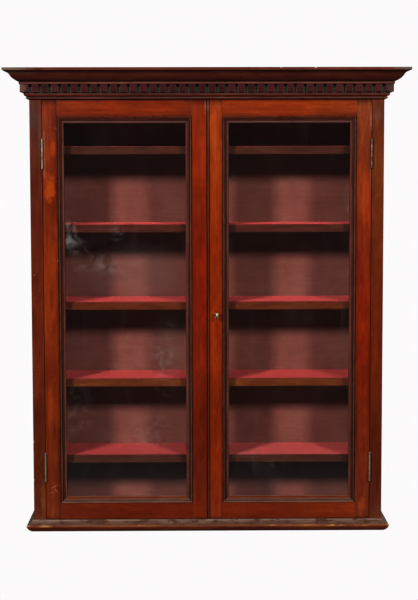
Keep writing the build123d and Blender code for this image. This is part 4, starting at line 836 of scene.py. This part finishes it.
def grid_cloth(name, node, up, wave, uneven, cell):
    """A cloth as thin as its CAD solid: a fine grid for each face, gently uneven, with soft cut edges.

    up is the axis the cloth's face looks along, +Z or -Y. wave is the height of its unevenness in metres, and
    uneven how far its cut edges wander."""
    low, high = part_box(node)
    thick = (high - low)[2 if up == "Z" else 1]
    wide = high.x - low.x
    tall = high.y - low.y if up == "Z" else high.z - low.z
    across, along = round(wide / cell), round(tall / cell)
    # each cloth has its own unevenness
    seed = Vector((sum(map(ord, node)) * 0.173, 3.1, 7.7))

    def swell(x, w, near):
        """The height of the upper face, given how near the point is to a cut edge."""
        place = Vector((x, w, 0.0)) + seed
        rise = noise.fractal(place * BROAD, 0.6, 2.1, 4) * wave
        rise += noise.noise(place * FINE) * wave * 0.25
        rounding = max(0.0, 1.0 - near / (1.6 * cell))
        return thick + min(0.0, rise - wave * 0.6) - thick * 0.55 * rounding ** 2

    def wander(place):
        """How far a cut edge is drawn in."""
        return (noise.noise(Vector(place) + seed) + 1.0) * uneven * 0.5

    mesh = bmesh.new()
    faces = []
    for upper in (False, True):
        rows = []
        for j in range(along + 1):
            row = []
            for i in range(across + 1):
                u, v = i / across, j / along
                x = low.x + wide * u
                w = tall * v
                near = min(u * wide, (1 - u) * wide, v * tall, (1 - v) * tall)
                height = swell(x, w, near) if upper else 0.0
                inset_u = wander((0.0, w * CUT, 2.0))
                inset_v = wander((x * CUT, 0.0, 5.0))
                x += inset_u * ((i == 0) - (i == across))
                w += inset_v * ((j == 0) - (j == along))
                spot = (x, low.y + w, low.z + height) if up == "Z" else (x, high.y - height, low.z + w)
                row.append(mesh.verts.new(spot))
            rows.append(row)
        faces.append(rows)
    for upper, rows in enumerate(faces):
        for j in range(along):
            for i in range(across):
                loop = (rows[j][i], rows[j][i + 1], rows[j + 1][i + 1], rows[j + 1][i])
                mesh.faces.new(loop if upper else tuple(reversed(loop)))
    below, above = (rim(rows) for rows in faces)
    for k in range(len(below)):
        n = (k + 1) % len(below)
        mesh.faces.new((below[k], below[n], above[n], above[k]))
    bmesh.ops.recalc_face_normals(mesh, faces=mesh.faces)
    obj = add_object(name, mesh)
    for polygon in obj.data.polygons:
        polygon.use_smooth = True
    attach(obj, "case")
    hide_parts(node)
    return obj, (wide, tall)


for i in range(1, 6):
    cloth, cut = grid_cloth(f"shelf_baize_{i}", f"shelf_lining_{i}", "Z", **LAID)
    cloth.data.materials.append(low_shelf_cloth if i == 5 else shelf_cloth)
cloth, cut = grid_cloth("floor_baize", "floor_lining", "Z", **LAID)
cloth.data.materials.append(shelf_cloth)
cloth, cut = grid_cloth("back_baize", "back_lining", "Y", **STRETCHED)
cloth.data.materials.append(back_cloth)

# ---------------------------------------------------------------- the dark slip in the gap between the doors, which makes the gap read as painted shade

# how far it goes into the left stile, its distance from the right one, and the radius of its edges
SLIP_BITE, SLIP_CLEAR, SLIP_ROUND = 0.0002, 0.0002, 0.00012
# how far it stands back from the doors' face, its depth, and how far it stops short of the stiles' ends
SLIP_BACK, SLIP_DEEP, SLIP_SHORT = 0.0012, 0.0036, 0.003
stile_low, stile_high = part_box("left_door_meeting_stile")
slip_low = Vector((stile_high.x - SLIP_BITE, stile_low.y + SLIP_BACK, stile_low.z + SLIP_SHORT))
slip_high = Vector((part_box("right_door_meeting_stile")[0].x - SLIP_CLEAR, slip_low.y + SLIP_DEEP,
                    stile_high.z - SLIP_SHORT))
mesh = bmesh.new()
bmesh.ops.create_cube(mesh, size=1.0)
bmesh.ops.scale(mesh, vec=slip_high - slip_low, verts=mesh.verts)
bmesh.ops.translate(mesh, vec=(slip_low + slip_high) / 2, verts=mesh.verts)
bmesh.ops.bevel(mesh, geom=mesh.edges, offset=SLIP_ROUND, segments=2, affect="EDGES", clamp_overlap=True)
slip = add_object("gap_shade_slip", mesh)
# near black, so that the gap reads as shade
slip.data.materials.append(wood("polish_gap_shade", "Z", (0.030, 0.010, 0.006), coat=0.0, gloss=0.02,
                                worn=(0.06, 0.02, 0.012)))
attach(slip, "left_door")

# ---------------------------------------------------------------- room, lights, camera

WHITE = (0.980, 0.968, 0.974)


def seen_directly(s):
    """1 for rays that come straight from the camera, or from it through nothing but glass."""
    path = s.node("LightPath").outputs
    bounces = s.math("ADD", path["Diffuse Depth"], path["Glossy Depth"])
    through = s.times(path["Is Transmission Ray"], s.math("LESS_THAN", bounces, 0.5))
    return s.math("MAXIMUM", path["Is Camera Ray"], through)


def lit(s, kind, colour, strength):
    return s.node(kind, {"Color": colour, "Strength": strength}).outputs[0]


# white behind the object, a dim room in its polish, and hardly any light from it inside the case
s = Shade("studio", world=True)
bpy.context.scene.world = s.material
room = s.node("MixShader", {0: s.node("LightPath").outputs["Is Glossy Ray"],
                            1: lit(s, "Background", (1.0, 0.97, 0.94), 0.004),
                            2: lit(s, "Background", (1.0, 0.99, 0.985), 0.100)})
sky = s.node("MixShader", {0: seen_directly(s), 1: room.outputs[0], 2: lit(s, "Background", WHITE, 1.0)})
s.tree.links.new(sky.outputs[0], s.out.inputs[0])

s = Shade("studio_floor")
paint = s.node("BsdfPrincipled", {"Base Color": s.mix(s.span(s.noise(s.position(), 1.5), 0.3, 0.7, 0.0, 1.0),
                                                      (0.14, 0.138, 0.135), (0.16, 0.157, 0.154)),
                                  "Roughness": 0.85})
mirrored = s.node("MixShader", {0: s.node("LightPath").outputs["Is Glossy Ray"], 1: paint.outputs[0],
                                2: lit(s, "Emission", (1.0, 0.97, 0.94), 0.10)})
even = s.node("MixShader", {0: seen_directly(s), 1: mirrored.outputs[0], 2: lit(s, "Emission", WHITE, 1.0)})
s.tree.links.new(even.outputs[0], s.out.inputs[0])
FLOOR_DROP, FLOOR_REACH = 0.75, 9.0
mesh = bmesh.new()
bmesh.ops.create_grid(mesh, x_segments=12, y_segments=12, size=FLOOR_REACH)
floor = add_object("studio_floor", mesh)
floor.data.materials.append(s.material)
floor.location = (0.0, 0.0, cad_low.z - FLOOR_DROP)


def softbox(name, place, size, watts, tint):
    """A square soft light, aimed at the middle of the case."""
    light = bpy.data.lights.new(name, "AREA")
    light.shape = "SQUARE"
    light.size = size
    light.energy = watts
    light.color = tint
    lamp = bpy.data.objects.new(name, light)
    lamp.location = place
    aim = Vector((0.0, cad_low.y * 0.7, 0.0)) - lamp.location
    lamp.rotation_euler = aim.to_track_quat("-Z", "Y").to_euler()
    bpy.context.scene.collection.objects.link(lamp)
    return lamp


SOFTBOX = 0.85
softbox("softbox_left", (-3.50, -5.74, 2.50), SOFTBOX, 450.0, (1.0, 0.97, 0.94))
softbox("softbox_right", (2.84, -5.74, 2.50), SOFTBOX, 290.0, (1.0, 0.97, 0.94))
softbox("softbox_behind", (1.90, 4.60, 2.20), 2.4, 260.0, (1.0, 0.98, 0.96)).visible_glossy = False

# The camera stands 3.94 m in front of the doors, a little above the middle, and looks down 5 degrees.
# Its sensor height and focal length are in mm.
SENSOR, LENS = 36.0, 91.098
PRINT_GAMMA = 0.75
CAMERA_AT = Vector((-0.0335, -4.1767, 0.3562))
PITCH, YAW, ROLL = 5.075, 0.548, -0.113
camera_data = bpy.data.cameras.new("camera")
camera_data.sensor_fit = "VERTICAL"
camera_data.sensor_height = SENSOR
camera_data.lens = LENS
camera_data.clip_end = 60.0
camera = bpy.data.objects.new("camera", camera_data)
pitch, yaw, roll = (math.radians(a) for a in (PITCH, YAW, ROLL))
forward = Vector((math.sin(yaw) * math.cos(pitch), math.cos(yaw) * math.cos(pitch), -math.sin(pitch)))
right = Vector((math.cos(yaw), -math.sin(yaw), 0.0))
over = right.cross(forward)
right_tilted = math.cos(roll) * right + math.sin(roll) * over
over_tilted = -math.sin(roll) * right + math.cos(roll) * over
turned = Matrix((right_tilted, over_tilted, -forward)).transposed()
camera.matrix_world = Matrix.Translation(CAMERA_AT) @ turned.to_4x4()
bpy.context.scene.collection.objects.link(camera)
bpy.context.scene.camera = camera
bpy.context.scene.view_settings.view_transform = "Standard"
bpy.context.scene.view_settings.gamma = PRINT_GAMMA
